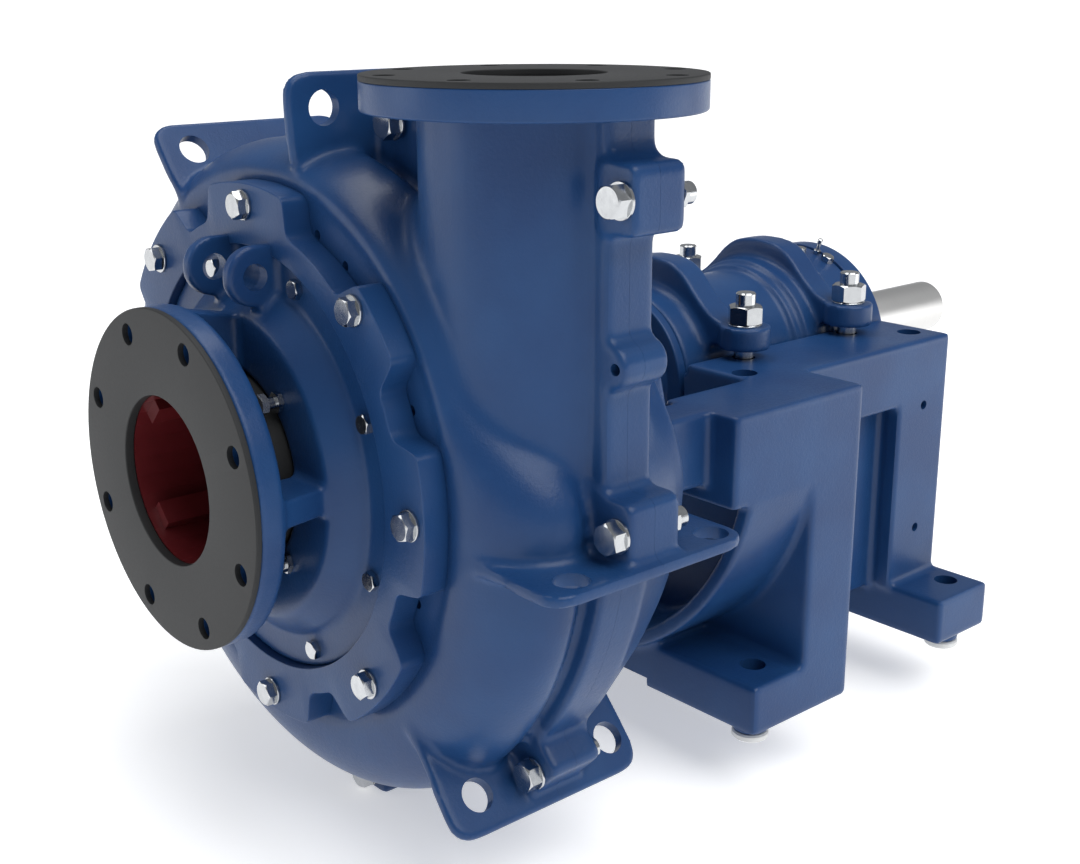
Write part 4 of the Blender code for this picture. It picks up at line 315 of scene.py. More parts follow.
# Shaft, from the impeller's end: where each step ends, its radius and the edge at its start
SHAFT_NOSE = 0.2600
SHAFT_STEPS = ((0.3405, 0.0300, 0.0010), (0.5055, 0.0400, 0), (0.7115, 0.0450, 0.0010), (0.8665, 0.0500, 0),
               (0.9800, 0.0450, 0))
SHAFT_R = 0.0365
SHAFT_END_EDGE = 0.0020
KEYWAY_LENGTH = 0.1100
KEYWAY_DEPTH = 0.0075
KEYWAY_HALF = 0.0100
KEYWAY_TOP = 0.0500

# Pedestal
FLOOR_Z = -0.3435
LAP = 0.0040
RAIL_TOP = 0.0380
RAIL_DEPTH = 0.0280
FRAME_FRONT = 0.4830
LEG_Y = 0.3140
LEG_WALL = 0.0220
LEG_REAR = 0.6960
WALL_FRONT = 0.6130
WALL_THICKNESS = 0.0280
SIDE_FOOT_Z = -0.0640
RAIL_INNER_Y = 0.1180
FRAME_REAR = 0.9850
SHELL_R = 0.3200
SHELL_WALL = 0.0180
SHELL_FRONT = 0.5100
FOOT_HEIGHT = 0.0590
FRONT_FOOT_FRONT = 0.5300
REAR_FOOT = (0.8900, 0.9950)
REAR_FOOT_Y = 0.3090
POST_Y = 0.2310
POST_FRONT = 0.8850
SKIRT = 0.0210
SKIRT_Z = -0.0440
WEB_PANEL = (0.1860, 0.2000)
REAR_WALL = (0.9250, 0.9430)
REAR_WALL_INSET = 0.0070
ARM_Y = 0.2760
ARM_WIDTH = 0.0500
ARM_Z = -0.0430
ADAPTER = (0.3953, 0.4153)
ADAPTER_R = 0.2860
ADAPTER_BORE_R = 0.1700
BARREL_ROOM_R = 0.1170
SEAT_FOOT_Z = -0.0120
SEAT_HEIGHT = 0.0460
SEAT_R = 0.0190
SEAT_HOLE_FOOT_Z = -0.0080
SEAT_HOLE_LENGTH = 0.0800
STUD_ROOM = 0.0020
FOOT_HOLES = ((0.5780, 0.2680), (0.9610, 0.2680))
FOOT_HOLE_R = 0.0150
RAIL_HOLES = ((0.6330, 0.1920), (0.9500, 0.1920))
RAIL_HOLE_R = 0.0150
RAIL_HOLE_DEPTH = 0.0180
RAIL_HOLE_LENGTH = 0.0300
POST_HOLE = 0.9370
POST_HOLES_Z = (-0.0490, -0.2150)
POST_HOLE_R = 0.0060
POST_HOLE_DEPTH = 0.0160
FOOT_RELIEF_Y = 0.1450
FOOT_RELIEF = 0.0120
SCREW_Z = -0.1340
SCREW_WALL_HOLE_R = 0.0090
SCREW_WALL_HOLE_LENGTH = 0.0300
PAD_R = 0.0215
BOSS_FOOT_Z = -0.3660
PAD_FOOT_Z = -0.3750
PAD_EDGE = 0.0020

# Fasteners: width across flats, height of head or nut, shank radius
COVER_BOLT = (0.0240, 0.0100, 0.0080)
RING_BOLT = (0.0180, 0.0075, 0.0060)
ADJUSTER = (0.0190, 0.0080, 0.0060)
LOCK_NUT_HEIGHT = 0.0060
PARTING_BOLT = (0.0275, 0.0135, 0.0100)
PARTING_NUT = (0.0240, 0.0060)
PARTING_TIP = 0.0180
PARTING_SHANK_TOP = 0.0100
HOLD_DOWN_NUT = (0.0380, 0.0220)
# Washers: radius, thickness, edge
COVER_WASHER = (0.0152, 0.0030, 0.0006)
PARTING_WASHER = (0.0165, 0.0030, 0.0005)
HOLD_DOWN_WASHER = (0.0205, 0.0020, 0.0005)
COVER_BOLT_REACH = 0.0270
RING_BOLT_REACH = 0.0100
HEX_CHAMFER = math.radians(30)
HEX_FACE_SHARE = 0.96
PIN_EDGE = 0.0010
STUD_EDGE = 0.0015
# Turns of the fasteners about their own lines, most of them times the fastener's number, so that few heads
# stand alike
COVER_BOLT_TURN, RING_BOLT_TURN, RING_BOLT_START = 0.4, 0.5, 0.3
ADJUSTER_TURN, LOCK_NUT_TURN, PARTING_TURN, HOLD_DOWN_TURN, FITTING_TURN = 0.3, 0.5, 0.35, 0.3, 0.3

# Camera, solved from the flange circles and the shaft
CAMERA_PLACE = (-1.8835, -1.2763, 0.4591)
CAMERA_AZIMUTH = math.radians(-41.03)
CAMERA_ELEVATION = math.radians(16.65)
CAMERA_ROLL = math.radians(-0.24)
CAMERA_LENS = 49.08
SENSOR = 36.0
CLIP_START = 0.05

# Studio: places are X and Y from the pump's middle and the height, softboxes have a width, a height and watts
RIGHT_SAIL = ((0.12, -0.66, 1.0), 1.95, math.radians(50))
OVERHEAD_SOFTBOX = ((-0.2, 0.5, 2.4), 2.4, 0.8, 22)
LOW_RIGHT_SOFTBOX = ((1.6, -1.4, 0.05), 1.2, 0.8, 5)
LOW_RIGHT_AIM = (0.3, 0, -0.1)
LEFT_SOFTBOX = ((-2.4, 1.4, 0.9), 1.2, 1.8, 11)
FLOOR_DROP = 0.001
FLOOR_HALF = 400.0
FLOOR_GLOW = 0.45
SKY_STRENGTH = 0.30
HORIZON = (math.sin(math.radians(3)), math.sin(math.radians(5)))


def at(setback):
    """X of a place behind the suction face."""
    return SUCTION_X + setback


def clock(radius, angle):
    """(y, z) at this radius and clock angle."""
    return -radius * math.sin(angle), radius * math.cos(angle)


# Materials

def linear(hex_colour):
    """sRGB hex to linear RGBA."""
    values = [int(hex_colour[i:i + 2], 16) / 255 for i in (1, 3, 5)]
    return (*[v / 12.92 if v <= 0.04045 else ((v + 0.055) / 1.055) ** 2.4 for v in values], 1.0)


def add(tree, kind, settings=None, links=None):
    """One shader node: settings are its properties or inputs, links its inputs from other nodes' outputs."""
    node = tree.nodes.new(kind)
    for key, value in (settings or {}).items():
        if isinstance(key, str) and hasattr(node, key):
            setattr(node, key, value)
        else:
            node.inputs[key].default_value = value
    for key, source in (links or {}).items():
        tree.links.new(source, node.inputs[key])
    return node


def new_material(name, surface):
    """A material with its Principled shader set, and the tree and shader to add patterns to."""
    made = bpy.data.materials.new(name)
    made.use_nodes = True
    tree = made.node_tree
    shader = tree.nodes["Principled BSDF"]
    for key, value in surface.items():
        shader.inputs[key].default_value = value
    return made, tree, shader


def per_mm(size_mm):
    """Noise scale that gives patterns of about this size."""
    return 1000.0 / size_mm


def navy_enamel():
    """Gloss enamel on sand-cast iron: the sand's grain and the paint's orange peel break up highlights."""
    made, tree, shader = new_material(
        "navy_enamel_on_cast_iron",
        {"IOR": 1.5, "Specular IOR Level": 0.26, "Coat Weight": 0.06, "Coat Roughness": 0.15})
    place = add(tree, "ShaderNodeTexCoord").outputs["Object"]
    cloud = add(tree, "ShaderNodeTexNoise", {"Scale": per_mm(90), "Detail": 3.0}, {"Vector": place})
    colour = add(tree, "ShaderNodeValToRGB", None, {"Fac": cloud.outputs["Fac"]})
    for stop, place_on_ramp, shade in zip(colour.color_ramp.elements, (0.3, 0.75), ("#193a68", "#204574")):
        stop.position, stop.color = place_on_ramp, linear(shade)
    tree.links.new(colour.outputs["Color"], shader.inputs["Base Color"])
    grain = add(tree, "ShaderNodeTexNoise", {"Scale": per_mm(3.0), "Detail": 4.0, "Roughness": 0.65},
                {"Vector": place})
    gloss = add(tree, "ShaderNodeMapRange", {"To Min": 0.24, "To Max": 0.44}, {"Value": grain.outputs["Fac"]})
    tree.links.new(gloss.outputs["Result"], shader.inputs["Roughness"])
    peel = add(tree, "ShaderNodeTexNoise", {"Scale": per_mm(7), "Detail": 2.0}, {"Vector": place})
    both = add(tree, "ShaderNodeMath", {"operation": "MULTIPLY_ADD", 1: 0.45},
               {0: peel.outputs["Fac"], 2: grain.outputs["Fac"]})
    bump = add(tree, "ShaderNodeBump", {"Strength": 0.55, "Distance": 0.0005},
               {"Height": both.outputs["Value"]})
    tree.links.new(bump.outputs["Normal"], shader.inputs["Normal"])
    return made


def grained(name, surface, low, high, size_mm, rough, bump_mm, stretch=(1, 1, 1), strength=0.4):
    """Colour and roughness that vary with one noise, and a bump of the same grain."""
    made, tree, shader = new_material(name, surface)
    place = add(tree, "ShaderNodeTexCoord").outputs["Object"]
    scaled = add(tree, "ShaderNodeMapping", {"Scale": stretch}, {"Vector": place}).outputs["Vector"]
    noise = add(tree, "ShaderNodeTexNoise", {"Scale": per_mm(size_mm), "Detail": 5.0}, {"Vector": scaled})
    colour = add(tree, "ShaderNodeMix", {"data_type": "RGBA"}, {"Factor": noise.outputs["Fac"]})
    colour.inputs[6].default_value = linear(low)
    colour.inputs[7].default_value = linear(high)
    tree.links.new(colour.outputs[2], shader.inputs["Base Color"])
    value = noise.outputs["Fac"]
    spread = add(tree, "ShaderNodeMapRange", {"To Min": rough[0], "To Max": rough[1]}, {"Value": value})
    tree.links.new(spread.outputs["Result"], shader.inputs["Roughness"])
    bump = add(tree, "ShaderNodeBump", {"Strength": strength, "Distance": bump_mm / 1000}, {"Height": value})
    tree.links.new(bump.outputs["Normal"], shader.inputs["Normal"])
    return made


PAINT = navy_enamel()
# Moulded natural rubber, charcoal with a dull bloom
RUBBER = grained("moulded_charcoal_rubber", {"IOR": 1.52, "Specular IOR Level": 0.30},
                 "#232425", "#2c2d2e", 3.0, (0.50, 0.66), 0.10)
# Cast polyurethane, wine red, smooth and a little glossy
URETHANE = grained("cast_wine_polyurethane", {"IOR": 1.5, "Coat Weight": 0.25, "Coat Roughness": 0.2},
                   "#52181b", "#651d22", 14.0, (0.26, 0.38), 0.12)
# Bright zinc plate on rolled steel, near mirror with faint clouding
ZINC = grained("bright_zinc_plate", {"Metallic": 1.0}, "#b4b6b9", "#cfd1d2", 6.0, (0.12, 0.24), 0.03)
# Ground shaft steel, whose grinding lines run round it and blur what it mirrors
SHAFT_STEEL = grained("ground_shaft_steel", {"Metallic": 1.0}, "#d3d2d0", "#dddcda", 1.6, (0.34, 0.46), 0.02,
                      stretch=(1, 0.05, 0.05))
# Hardened bearing steel, ground to a mirror under a film of oil
BEARING_STEEL = grained("ground_bearing_steel", {"Metallic": 1.0}, "#a9abad", "#c2c4c6", 2.0, (0.12, 0.24),
                        0.02)
# White iron as it leaves the sand mould, dull and pebbled
WHITE_IRON = grained("as_cast_white_iron", {"Metallic": 1.0}, "#6c6d6f", "#86878a", 2.4, (0.42, 0.62), 0.30)
# Leaded bronze off the lathe, with a satin sheen
BRONZE = grained("machined_leaded_bronze", {"Metallic": 1.0}, "#a8793a", "#c3924c", 1.2, (0.24, 0.40), 0.04)
# Braided packing rubbed with graphite, near black and coarse
PACKING = grained("graphite_braided_packing", {"IOR": 1.5}, "#151516", "#2b2b2d", 3.2, (0.45, 0.7), 0.6)
# Moulded nylon, white with a soft shine
NYLON = grained("moulded_white_nylon", {"IOR": 1.53}, "#dcdcd8", "#ececea", 5.0, (0.38, 0.5), 0.05)

SLOT_MATERIALS = {
    "navy_paint": PAINT, "black_rubber": RUBBER, "wine_liner": URETHANE, "zinc": ZINC,
    "shaft_steel": SHAFT_STEEL, "bearing_steel": BEARING_STEEL, "white_iron": WHITE_IRON, "bronze": BRONZE,
    "packing": PACKING, "nylon": NYLON,
}
NODE_SLOTS = {part["node"]: part["material_slot"] for part in frame["record"]["subparts"]}


# Shapes

def rounded(points, closed=True):
    """Points of (first, second, corner radius) as a line whose corners are curves of about that radius."""
    line, count = [], len(points)
    for index, (x, y, radius) in enumerate(points):
        corner = Vector((x, y))
        if radius == 0 or (not closed and index in (0, count - 1)):
            line.append((x, y))
            continue
        before = Vector(points[index - 1][:2]) - corner
        after = Vector(points[(index + 1) % count][:2]) - corner
        half = before.angle(after) / 2
        reach = min(radius / math.tan(half), 0.45 * before.length, 0.45 * after.length)
        start, end = corner + before.normalized() * reach, corner + after.normalized() * reach
        for step in range(CORNER_STEPS + 1):
            t = step / CORNER_STEPS
            line.append(tuple((1 - t) ** 2 * start + 2 * t * (1 - t) * corner + t * t * end))
    return line


def add_loft(bm, section, steps=TURN_STEPS, closed=True, matrix=None, start=0.0, sweep=math.tau, angles=None):
    """Sections of (setback, radius) round the shaft's line, skinned. Part of a turn gets flat ends."""
    whole = sweep >= math.tau - 1e-9
    place = matrix or Matrix.Identity(4)
    angles = angles or [start + sweep * step / steps for step in range(steps if whole else steps + 1)]
    rings = []
    for angle in angles:
        rings.append([bm.verts.new(place @ Vector((at(s), *clock(r, angle)))) for s, r in section(angle)])
    count = len(rings[0])
    pairs = list(zip(rings, rings[1:] + rings[:1] if whole else rings[1:]))
    for here, there in pairs:
        for k in range(count if closed else count - 1):
            after = (k + 1) % count
            bm.faces.new((here[k], here[after], there[after], there[k]))
    if not whole:
        bm.faces.new(rings[0])
        bm.faces.new(rings[-1][::-1])
    bmesh.ops.remove_doubles(bm, verts=bm.verts, dist=1e-6)


def add_turned(bm, points, steps=TURN_STEPS, closed=True, matrix=None):
    """Points of (setback, radius, corner radius) turned round the shaft."""
    line = rounded(points, closed)
    add_loft(bm, lambda angle: line, steps, closed, matrix)


def add_prism(bm, outline, thickness, matrix):
    """A flat outline pushed along its local Z."""
    corners = [bm.verts.new(matrix @ Vector((x, y, 0))) for x, y in outline]
    face = bm.faces.new(corners)
    pushed = bmesh.ops.extrude_face_region(bm, geom=[face])["geom"]
    moved = [item for item in pushed if isinstance(item, bmesh.types.BMVert)]
    bmesh.ops.translate(bm, verts=moved, vec=matrix.to_3x3() @ Vector((0, 0, thickness)))


def add_block(bm, low, high):
    size = Vector(high) - Vector(low)
    middle = (Vector(high) + Vector(low)) / 2
    bmesh.ops.create_cube(bm, size=1, matrix=Matrix.Translation(middle) @ Matrix.Diagonal((*size, 1)))


def add_rod(bm, start, direction, length, radius, steps=HOLE_STEPS):
    direction = Vector(direction).normalized()
    turn = direction.to_track_quat("Z", "Y").to_matrix().to_4x4()
    matrix = Matrix.Translation(Vector(start) + direction * length / 2) @ turn
    bmesh.ops.create_cone(bm, cap_ends=True, segments=steps, radius1=radius, radius2=radius, depth=length,
                          matrix=matrix)


def add_holes(bm, front, rear, circle, radius, count, start=0.0):
    for index in range(count):
        y, z = clock(circle, start + index * math.tau / count)
        add_rod(bm, (at(front), y, z), (1, 0, 0), rear - front, radius)


def arc(centre, radius, start, end, steps=12):
    angles = [start + (end - start) * i / steps for i in range(steps + 1)]
    return [(centre[0] + radius * math.cos(a), centre[1] + radius * math.sin(a)) for a in angles]


def beside(y):
    """Local X is +X, local Y is +Z, local Z is -Y, from this Y on."""
    return Matrix(((1, 0, 0, 0), (0, 0, -1, y), (0, 1, 0, 0), (0, 0, 0, 1)))


def across(setback):
    """Local X is +Y, local Y is +Z, local Z is +X, from this setback on."""
    return Matrix(((0, 0, 1, at(setback)), (1, 0, 0, 0), (0, 1, 0, 0), (0, 0, 0, 1)))


def from_right(setback):
    """Local X is +Z, local Y is -Y, local Z is +X, from this setback on."""
    return Matrix(((0, 0, 1, at(setback)), (0, -1, 0, 0), (1, 0, 0, 0), (0, 0, 0, 1)))


def on_clock(angle, setback):
    """Local X runs across the radius, local Y outward, local Z along the shaft."""
    outward = Vector((0, *clock(1, angle)))
    shaft = Vector((1, 0, 0))
    turn = Matrix((outward.cross(shaft), outward, shaft)).transposed().to_4x4()
    return Matrix.Translation((at(setback), 0, 0)) @ turn


def object_of(bm, name):
    bmesh.ops.recalc_face_normals(bm, faces=bm.faces)
    mesh = bpy.data.meshes.new(name)
    bm.to_mesh(mesh)
    bm.free()
    made = bpy.data.objects.new(name, mesh)
    bpy.context.scene.collection.objects.link(made)
    return made


def settle(obj):
    """Applies the object's modifiers to its mesh."""
    bpy.context.view_layer.update()
    mesh = bpy.data.meshes.new_from_object(obj.evaluated_get(bpy.context.evaluated_depsgraph_get()))
    obj.modifiers.clear()
    old = obj.data
    obj.data = mesh
    bpy.data.meshes.remove(old)
    return obj


def modifier(obj, kind, **settings):
    made = obj.modifiers.new(kind.lower(), kind)
    for key, value in settings.items():
        setattr(made, key, value)
    return made


def cast(bm, name, voxel=CAST_VOXEL, fillet=0.0, ease=3):
    """Overlapping shapes run into one casting, with a hollow fillet of this radius where they meet."""
    obj = object_of(bm, name)
    modifier(obj, "REMESH", mode="VOXEL", voxel_size=voxel)
    if fillet:
        modifier(obj, "SMOOTH", factor=0.5, iterations=1)
        modifier(obj, "DISPLACE", strength=fillet, mid_level=0.0)
        modifier(obj, "REMESH", mode="VOXEL", voxel_size=voxel)
        modifier(obj, "SMOOTH", factor=0.5, iterations=1)
        modifier(obj, "DISPLACE", strength=-fillet, mid_level=0.0)
        modifier(obj, "REMESH", mode="VOXEL", voxel_size=voxel)
    if ease:
        modifier(obj, "SMOOTH", factor=0.5, iterations=ease)
    return settle(obj)


def carve(obj, bm):
    """Cuts the shapes out of the object."""
    cutter = object_of(bm, obj.name + "_cutter")
    modifier(obj, "BOOLEAN", operation="DIFFERENCE", object=cutter, solver="MANIFOLD")
    settle(obj)
    bpy.data.objects.remove(cutter)
    return obj


def dress(obj, slot, body, *nodes, smooth=SHARP_ANGLE):
    """Gives a piece its finish, and makes it ride on its body in place of these nodes."""
    obj.data.materials.clear()
    obj.data.materials.append(SLOT_MATERIALS[slot])
    obj.data.shade_smooth()
    obj.data.set_sharp_from_angle(angle=smooth)
    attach(obj, body)
    if nodes:
        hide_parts(*nodes)
    return obj


# Volute form

def volute_radius(angle):
    """Radius of the parting flange: it grows against the clock from the tongue to the nozzle."""
    travel = (-angle) % math.tau
    if travel <= SPIRAL_END:
        share = 1 - (1 - travel / SPIRAL_END) ** 3
    else:
        share = max(0.0, 1 - (travel - SPIRAL_END) / SPIRAL_BLEND)
        share = share * share * (3 - 2 * share)
    return TONGUE_R + (VOLUTE_R - TONGUE_R) * share


BULGE_ROOT = COVER_REAR + SEAT_GAP
BULGE_START = 0.1293


def bulge_section(angle):
    """The swollen front of the casing with its bore, to the parting plane."""
    crest = volute_radius(angle) - BULGE_DROP
    groove = volute_radius(angle) - GROOVE_DROP
    line = [(BULGE_ROOT, COVER_SPIGOT_R), (BULGE_ROOT, RIM_R)]
    for step in range(BULGE_STEPS + 1):
        turn = RIGHT * step / BULGE_STEPS
        line.append((CREST - (CREST - BULGE_START) * math.cos(turn),
                     RIM_R + (crest - RIM_R) * math.sin(turn)))
    foot = FLANGE_FRONT - LIP_WIDTH
    for step in range(1, BULGE_STEPS // 2 + 1):
        turn = RIGHT * step / (BULGE_STEPS // 2)
        line.append((CREST + (foot - CREST) * math.sin(turn),
                     crest - (crest - groove) * (1 - math.cos(turn))))
    return line + [(PARTING + OVERRUN, groove), (PARTING + OVERRUN, COVER_SPIGOT_R)]


def band_section(front, rear, drop):
    """A flat band round the parting, this far inside the flange's edge."""
    def section(angle):
        edge = volute_radius(angle) - drop
        return [(front, edge - BOSS_DEPTH), (front, edge), (rear, edge), (rear, edge - BOSS_DEPTH)]
    return section


def back_section(angle):
    """The back of the casing, from the parting plane over a cone to the flat round the stuffing box."""
    edge = volute_radius(angle)
    cone = edge - BACK_CONE_DROP
    return [
        (PARTING, BACK_OPENING_R), (PARTING, edge), (FLANGE_BACK, edge), (BACK_CONE_END, cone),
        (BACK_FACE - BACK_BEND_LENGTH, (cone + BACK_SHOULDER_R) / 2 + BACK_BEND_RISE),
        (BACK_FACE, BACK_SHOULDER_R), (BACK_FACE, BACK_OPENING_R),
    ]


def cavity_section(front):
    """The hollow of one half, with a core through its middle, as a cutter."""
    side = -1 if front else 1
    end = COVER_SPIGOT_END + CAVITY_FRONT_WALL if front else BACK_FACE - CAVITY_BACK_WALL
    plane = PARTING - side * OVERRUN
    core = COVER_SPIGOT_R / 2

    def section(angle):
        wide = volute_radius(angle) - GROOVE_DROP - CASING_WALL
        height = wide - COVER_SPIGOT_R
        return [(plane, core), (plane, wide), (PARTING + (end - PARTING) * CAVITY_STRAIGHT, wide),
                (end + (PARTING - end) * CAVITY_HAUNCH, COVER_SPIGOT_R + height * CAVITY_HAUNCH_HEIGHT),
                (end, COVER_SPIGOT_R + height * CAVITY_SHOULDER_HEIGHT), (end, core)]
    return section


def parting_places():
    """(y, z) of every bolt through the parting flange, in the order of the frame's nodes."""
    places = [clock(PARTING_CIRCLE, math.radians(d)) for d in PARTING_DEGREES]
    places += [clock(volute_radius(math.radians(d)) + LOW_INSET, math.radians(d)) for d in LOW_DEGREES]
    return places + [(-PARTING_CIRCLE, WEB_BOLT_Z), TONGUE_BOLT]


def add_bosses(bm):
    """A rounded boss for each bolt round the volute, a little proud of the flange on both sides."""
    low, high = FLANGE_FRONT - BOSS_PROUD, FLANGE_BACK + BOSS_PROUD / 2
    found = [(math.radians(d), VOLUTE_R + BOSS_OUT) for d in PARTING_DEGREES]
    found += [(math.radians(d), volute_radius(math.radians(d)) + 2 * LOW_INSET) for d in LOW_DEGREES]
    for angle, height in found:
        root = volute_radius(angle) - BOSS_DEPTH / 2
        outline = rounded([
            (-BOSS_HALF - BOSS_CHAMFER, root, 0), (-BOSS_HALF, root + (height - root) * 0.5, BOSS_CHAMFER),
            (-BOSS_HALF, height, BOSS_CHAMFER), (BOSS_HALF, height, BOSS_CHAMFER),
            (BOSS_HALF, root + (height - root) * 0.5, BOSS_CHAMFER), (BOSS_HALF + BOSS_CHAMFER, root, 0),
        ])
        add_prism(bm, outline, high - low, on_clock(angle, low))


def add_web(bm):
    """The straight web up the nozzle with its bolt boss and dowel boss, and the web on the tongue's side."""
    low, high = FLANGE_FRONT, FLANGE_BACK
    top = OUTLET_TOP - OUTLET_FACING - OUTLET_FLANGE_THICKNESS / 2
    raised = WEB_Y + BOSS_OUT
    soft = 2 * BOSS_CHAMFER
    foot, head = WEB_BOLT_Z - BOSS_HALF, WEB_BOLT_Z + BOSS_HALF
    outline = rounded([
        (WEB_FOOT_Z, -OUTLET_Y, 0), (WEB_FOOT_Z, WEB_Y, 0), (foot, WEB_Y, BOSS_CHAMFER),
        (foot, raised, BOSS_CHAMFER), (head, raised, BOSS_CHAMFER), (head, WEB_Y, soft), (top, WEB_Y, 0),
        (top, -OUTLET_Y, 0),
    ])
    add_prism(bm, outline, high - low, from_right(low))
    outline = rounded([
        (foot, WEB_Y - BOSS_CHAMFER, BOSS_CHAMFER), (foot, raised, BOSS_CHAMFER),
        (head, raised, BOSS_CHAMFER), (head, WEB_Y - BOSS_CHAMFER, BOSS_CHAMFER),
    ])
    add_prism(bm, outline, high - low + 1.5 * BOSS_PROUD, from_right(low - BOSS_PROUD))
    add_rod(bm, (at(low), -WEB_Y, DOWEL_Z), (1, 0, 0), high - low, DOWEL_R, 2 * HOLE_STEPS)
    y, z = TONGUE_BOLT
    root = volute_radius(0.0) - BOSS_DEPTH
    outline = rounded([
        (root, -OUTLET_Y, 0), (z + TONGUE_BOSS_UP, -OUTLET_Y, 0),
        (z + TONGUE_BOSS_UP, -y - TONGUE_BOSS_OUT, soft), (root, -y - BOSS_HALF, 0),
    ])
    add_prism(bm, outline, high - low, from_right(low))


def lug_frame(lug):
    """The way a lug points, the way its plate faces, and the place of its plate's near side."""
    direction, offset = LUGS[lug][:2]
    outward = Vector((0, *clock(1, direction)))
    shaft = Vector((1, 0, 0))
    normal = outward.cross(shaft)
    turn = Matrix((shaft, outward, -normal)).transposed().to_4x4()
    return outward, normal, Matrix.Translation(-normal * offset + normal * (LUG_THICKNESS / 2)) @ turn


def add_lugs(bm):
    for lug, (_, _, hole, margin) in LUGS.items():
        _, _, place = lug_frame(lug)
        outer = hole + margin
        outline = rounded([
            (at(LUG_REAR), LUG_ROOT_R, 0), (at(LUG_FRONT + LUG_TIP_INSET), LUG_ROOT_R, 0),
            (at(LUG_FRONT + LUG_TIP_INSET), outer - LUG_TIP_DROP, LUG_TIP_CORNER),
            (at(LUG_FRONT), outer, LUG_CORNER), (at(LUG_REAR), outer, LUG_CORNER),
        ])
        add_prism(bm, outline, LUG_THICKNESS, place)


def add_lug_holes(bm):
    for lug, (_, offset, hole, _) in LUGS.items():
        outward, normal, _ = lug_frame(lug)
        for side in (-1, 1):
            middle = Vector((at(PARTING) + side * LUG_HOLE_SPREAD, 0, 0))
            centre = middle + outward * hole - normal * offset
            add_rod(bm, centre + normal * LUG_THICKNESS, -normal, 2 * LUG_THICKNESS, LUG_HOLE_R)


def casting_form():
    """The volute and nozzle in one, with flange, web, bosses and lugs run on across the parting."""
    bm = bmesh.new()
    add_loft(bm, bulge_section, LOFT_STEPS)
    add_loft(bm, back_section, LOFT_STEPS)
    neck_top = OUTLET_TOP - OUTLET_FACING - OUTLET_FLANGE_THICKNESS / 2
    add_rod(bm, (at(PARTING), OUTLET_Y, NOZZLE_FOOT), (0, 0, 1), neck_top - NOZZLE_FOOT, NOZZLE_R,
            PIPE_STEPS)
    form = cast(bm, "cast_casing_form", CAST_VOXEL, VOLUTE_FILLET, 2)
    bm = bmesh.new()
    bm.from_mesh(form.data)
    bpy.data.objects.remove(form)
    add_loft(bm, band_section(FLANGE_FRONT, FLANGE_BACK, 0.0), LOFT_STEPS)
    add_loft(bm, band_section(FLANGE_FRONT - LIP_WIDTH, FLANGE_FRONT + LIP_WIDTH, LIP_DROP), LOFT_STEPS)
    add_web(bm)
    add_bosses(bm)
    add_lugs(bm)
    return cast(bm, "cast_casing", CAST_VOXEL, FLANGE_FILLET, 1)


def bore_casing(whole):
    """The hollow of the volute and nozzle, and every hole in flange, lugs and front face."""
    for front in (True, False):
        bm = bmesh.new()
        add_loft(bm, cavity_section(front), CAVITY_STEPS)
        carve(whole, bm)
    bm = bmesh.new()
    add_rod(bm, (at(PARTING), OUTLET_Y, NOZZLE_BORE_FOOT), (0, 0, 1), OUTLET_TOP, NOZZLE_BORE_R, PIPE_STEPS)
    carve(whole, bm)
    bm = bmesh.new()
    add_lug_holes(bm)
    width = FLANGE_BACK - FLANGE_FRONT
    for y, z in parting_places():
        add_rod(bm, (at(FLANGE_FRONT - 2 * OVERRUN), y, z), (1, 0, 0), width + 4 * OVERRUN, PARTING_HOLE_R)
    add_rod(bm, (at(FLANGE_FRONT - OVERRUN), -WEB_Y - DOWEL_R / 2, DOWEL_Z), (1, 0, 0), width + 2 * OVERRUN,
            DOWEL_HOLE_R)
    add_holes(bm, COVER_FRONT, BULGE_ROOT + TAPPING_DEPTH, COVER_CIRCLE, COVER_TAPPING_R, COVER_BOLTS)
    for radius, degrees in JACK_PLACES:
        add_rod(bm, (at(BULGE_ROOT - OVERRUN), *clock(radius, math.radians(degrees))), (1, 0, 0),
                TAPPING_DEPTH, JACK_R)
    carve(whole, bm)


def casing():
    """One casting, bored and then cut at the parting plane into its two halves."""
    whole = casting_form()
    bore_casing(whole)
    low, high = CAD_BOX
    beyond = Vector((OVERRUN, OVERRUN, OVERRUN))
    for front in (True, False):
        half = bpy.data.objects.new("cast_casing_front" if front else "cast_casing_back", whole.data.copy())
        bpy.context.scene.collection.objects.link(half)
        bm = bmesh.new()
        if front:
            add_block(bm, (at(PARTING) - SPLIT_GAP / 2, low.y - OVERRUN, low.z - OVERRUN), high + beyond)
        else:
            add_block(bm, low - beyond, (at(PARTING) + SPLIT_GAP / 2, high.y + OVERRUN, high.z + OVERRUN))
        carve(half, bm)
        dress(half, "navy_paint", "pedestal", "casing_front" if front else "casing_back")
    bpy.data.objects.remove(whole)


def upright_matrix():
    """Turns a profile made round the shaft to stand on the nozzle's line, its setback read as height."""
    stand = Matrix.Translation((at(PARTING), OUTLET_Y, 0))
    return stand @ Matrix.Rotation(-RIGHT, 4, "Y") @ Matrix.Translation((-SUCTION_X, 0, 0))


def outlet_holes():
    bm = bmesh.new()
    for index in range(FLANGE_HOLES):
        turn = math.tau * (index + 0.5) / FLANGE_HOLES
        x, y = at(PARTING) + OUTLET_CIRCLE * math.cos(turn), OUTLET_Y + OUTLET_CIRCLE * math.sin(turn)
        add_rod(bm, (x, y, OUTLET_TOP - OUTLET_HOLE_DEPTH), (0, 0, 1), OUTLET_HOLE_LENGTH, OUTLET_HOLE_R)
    return bm


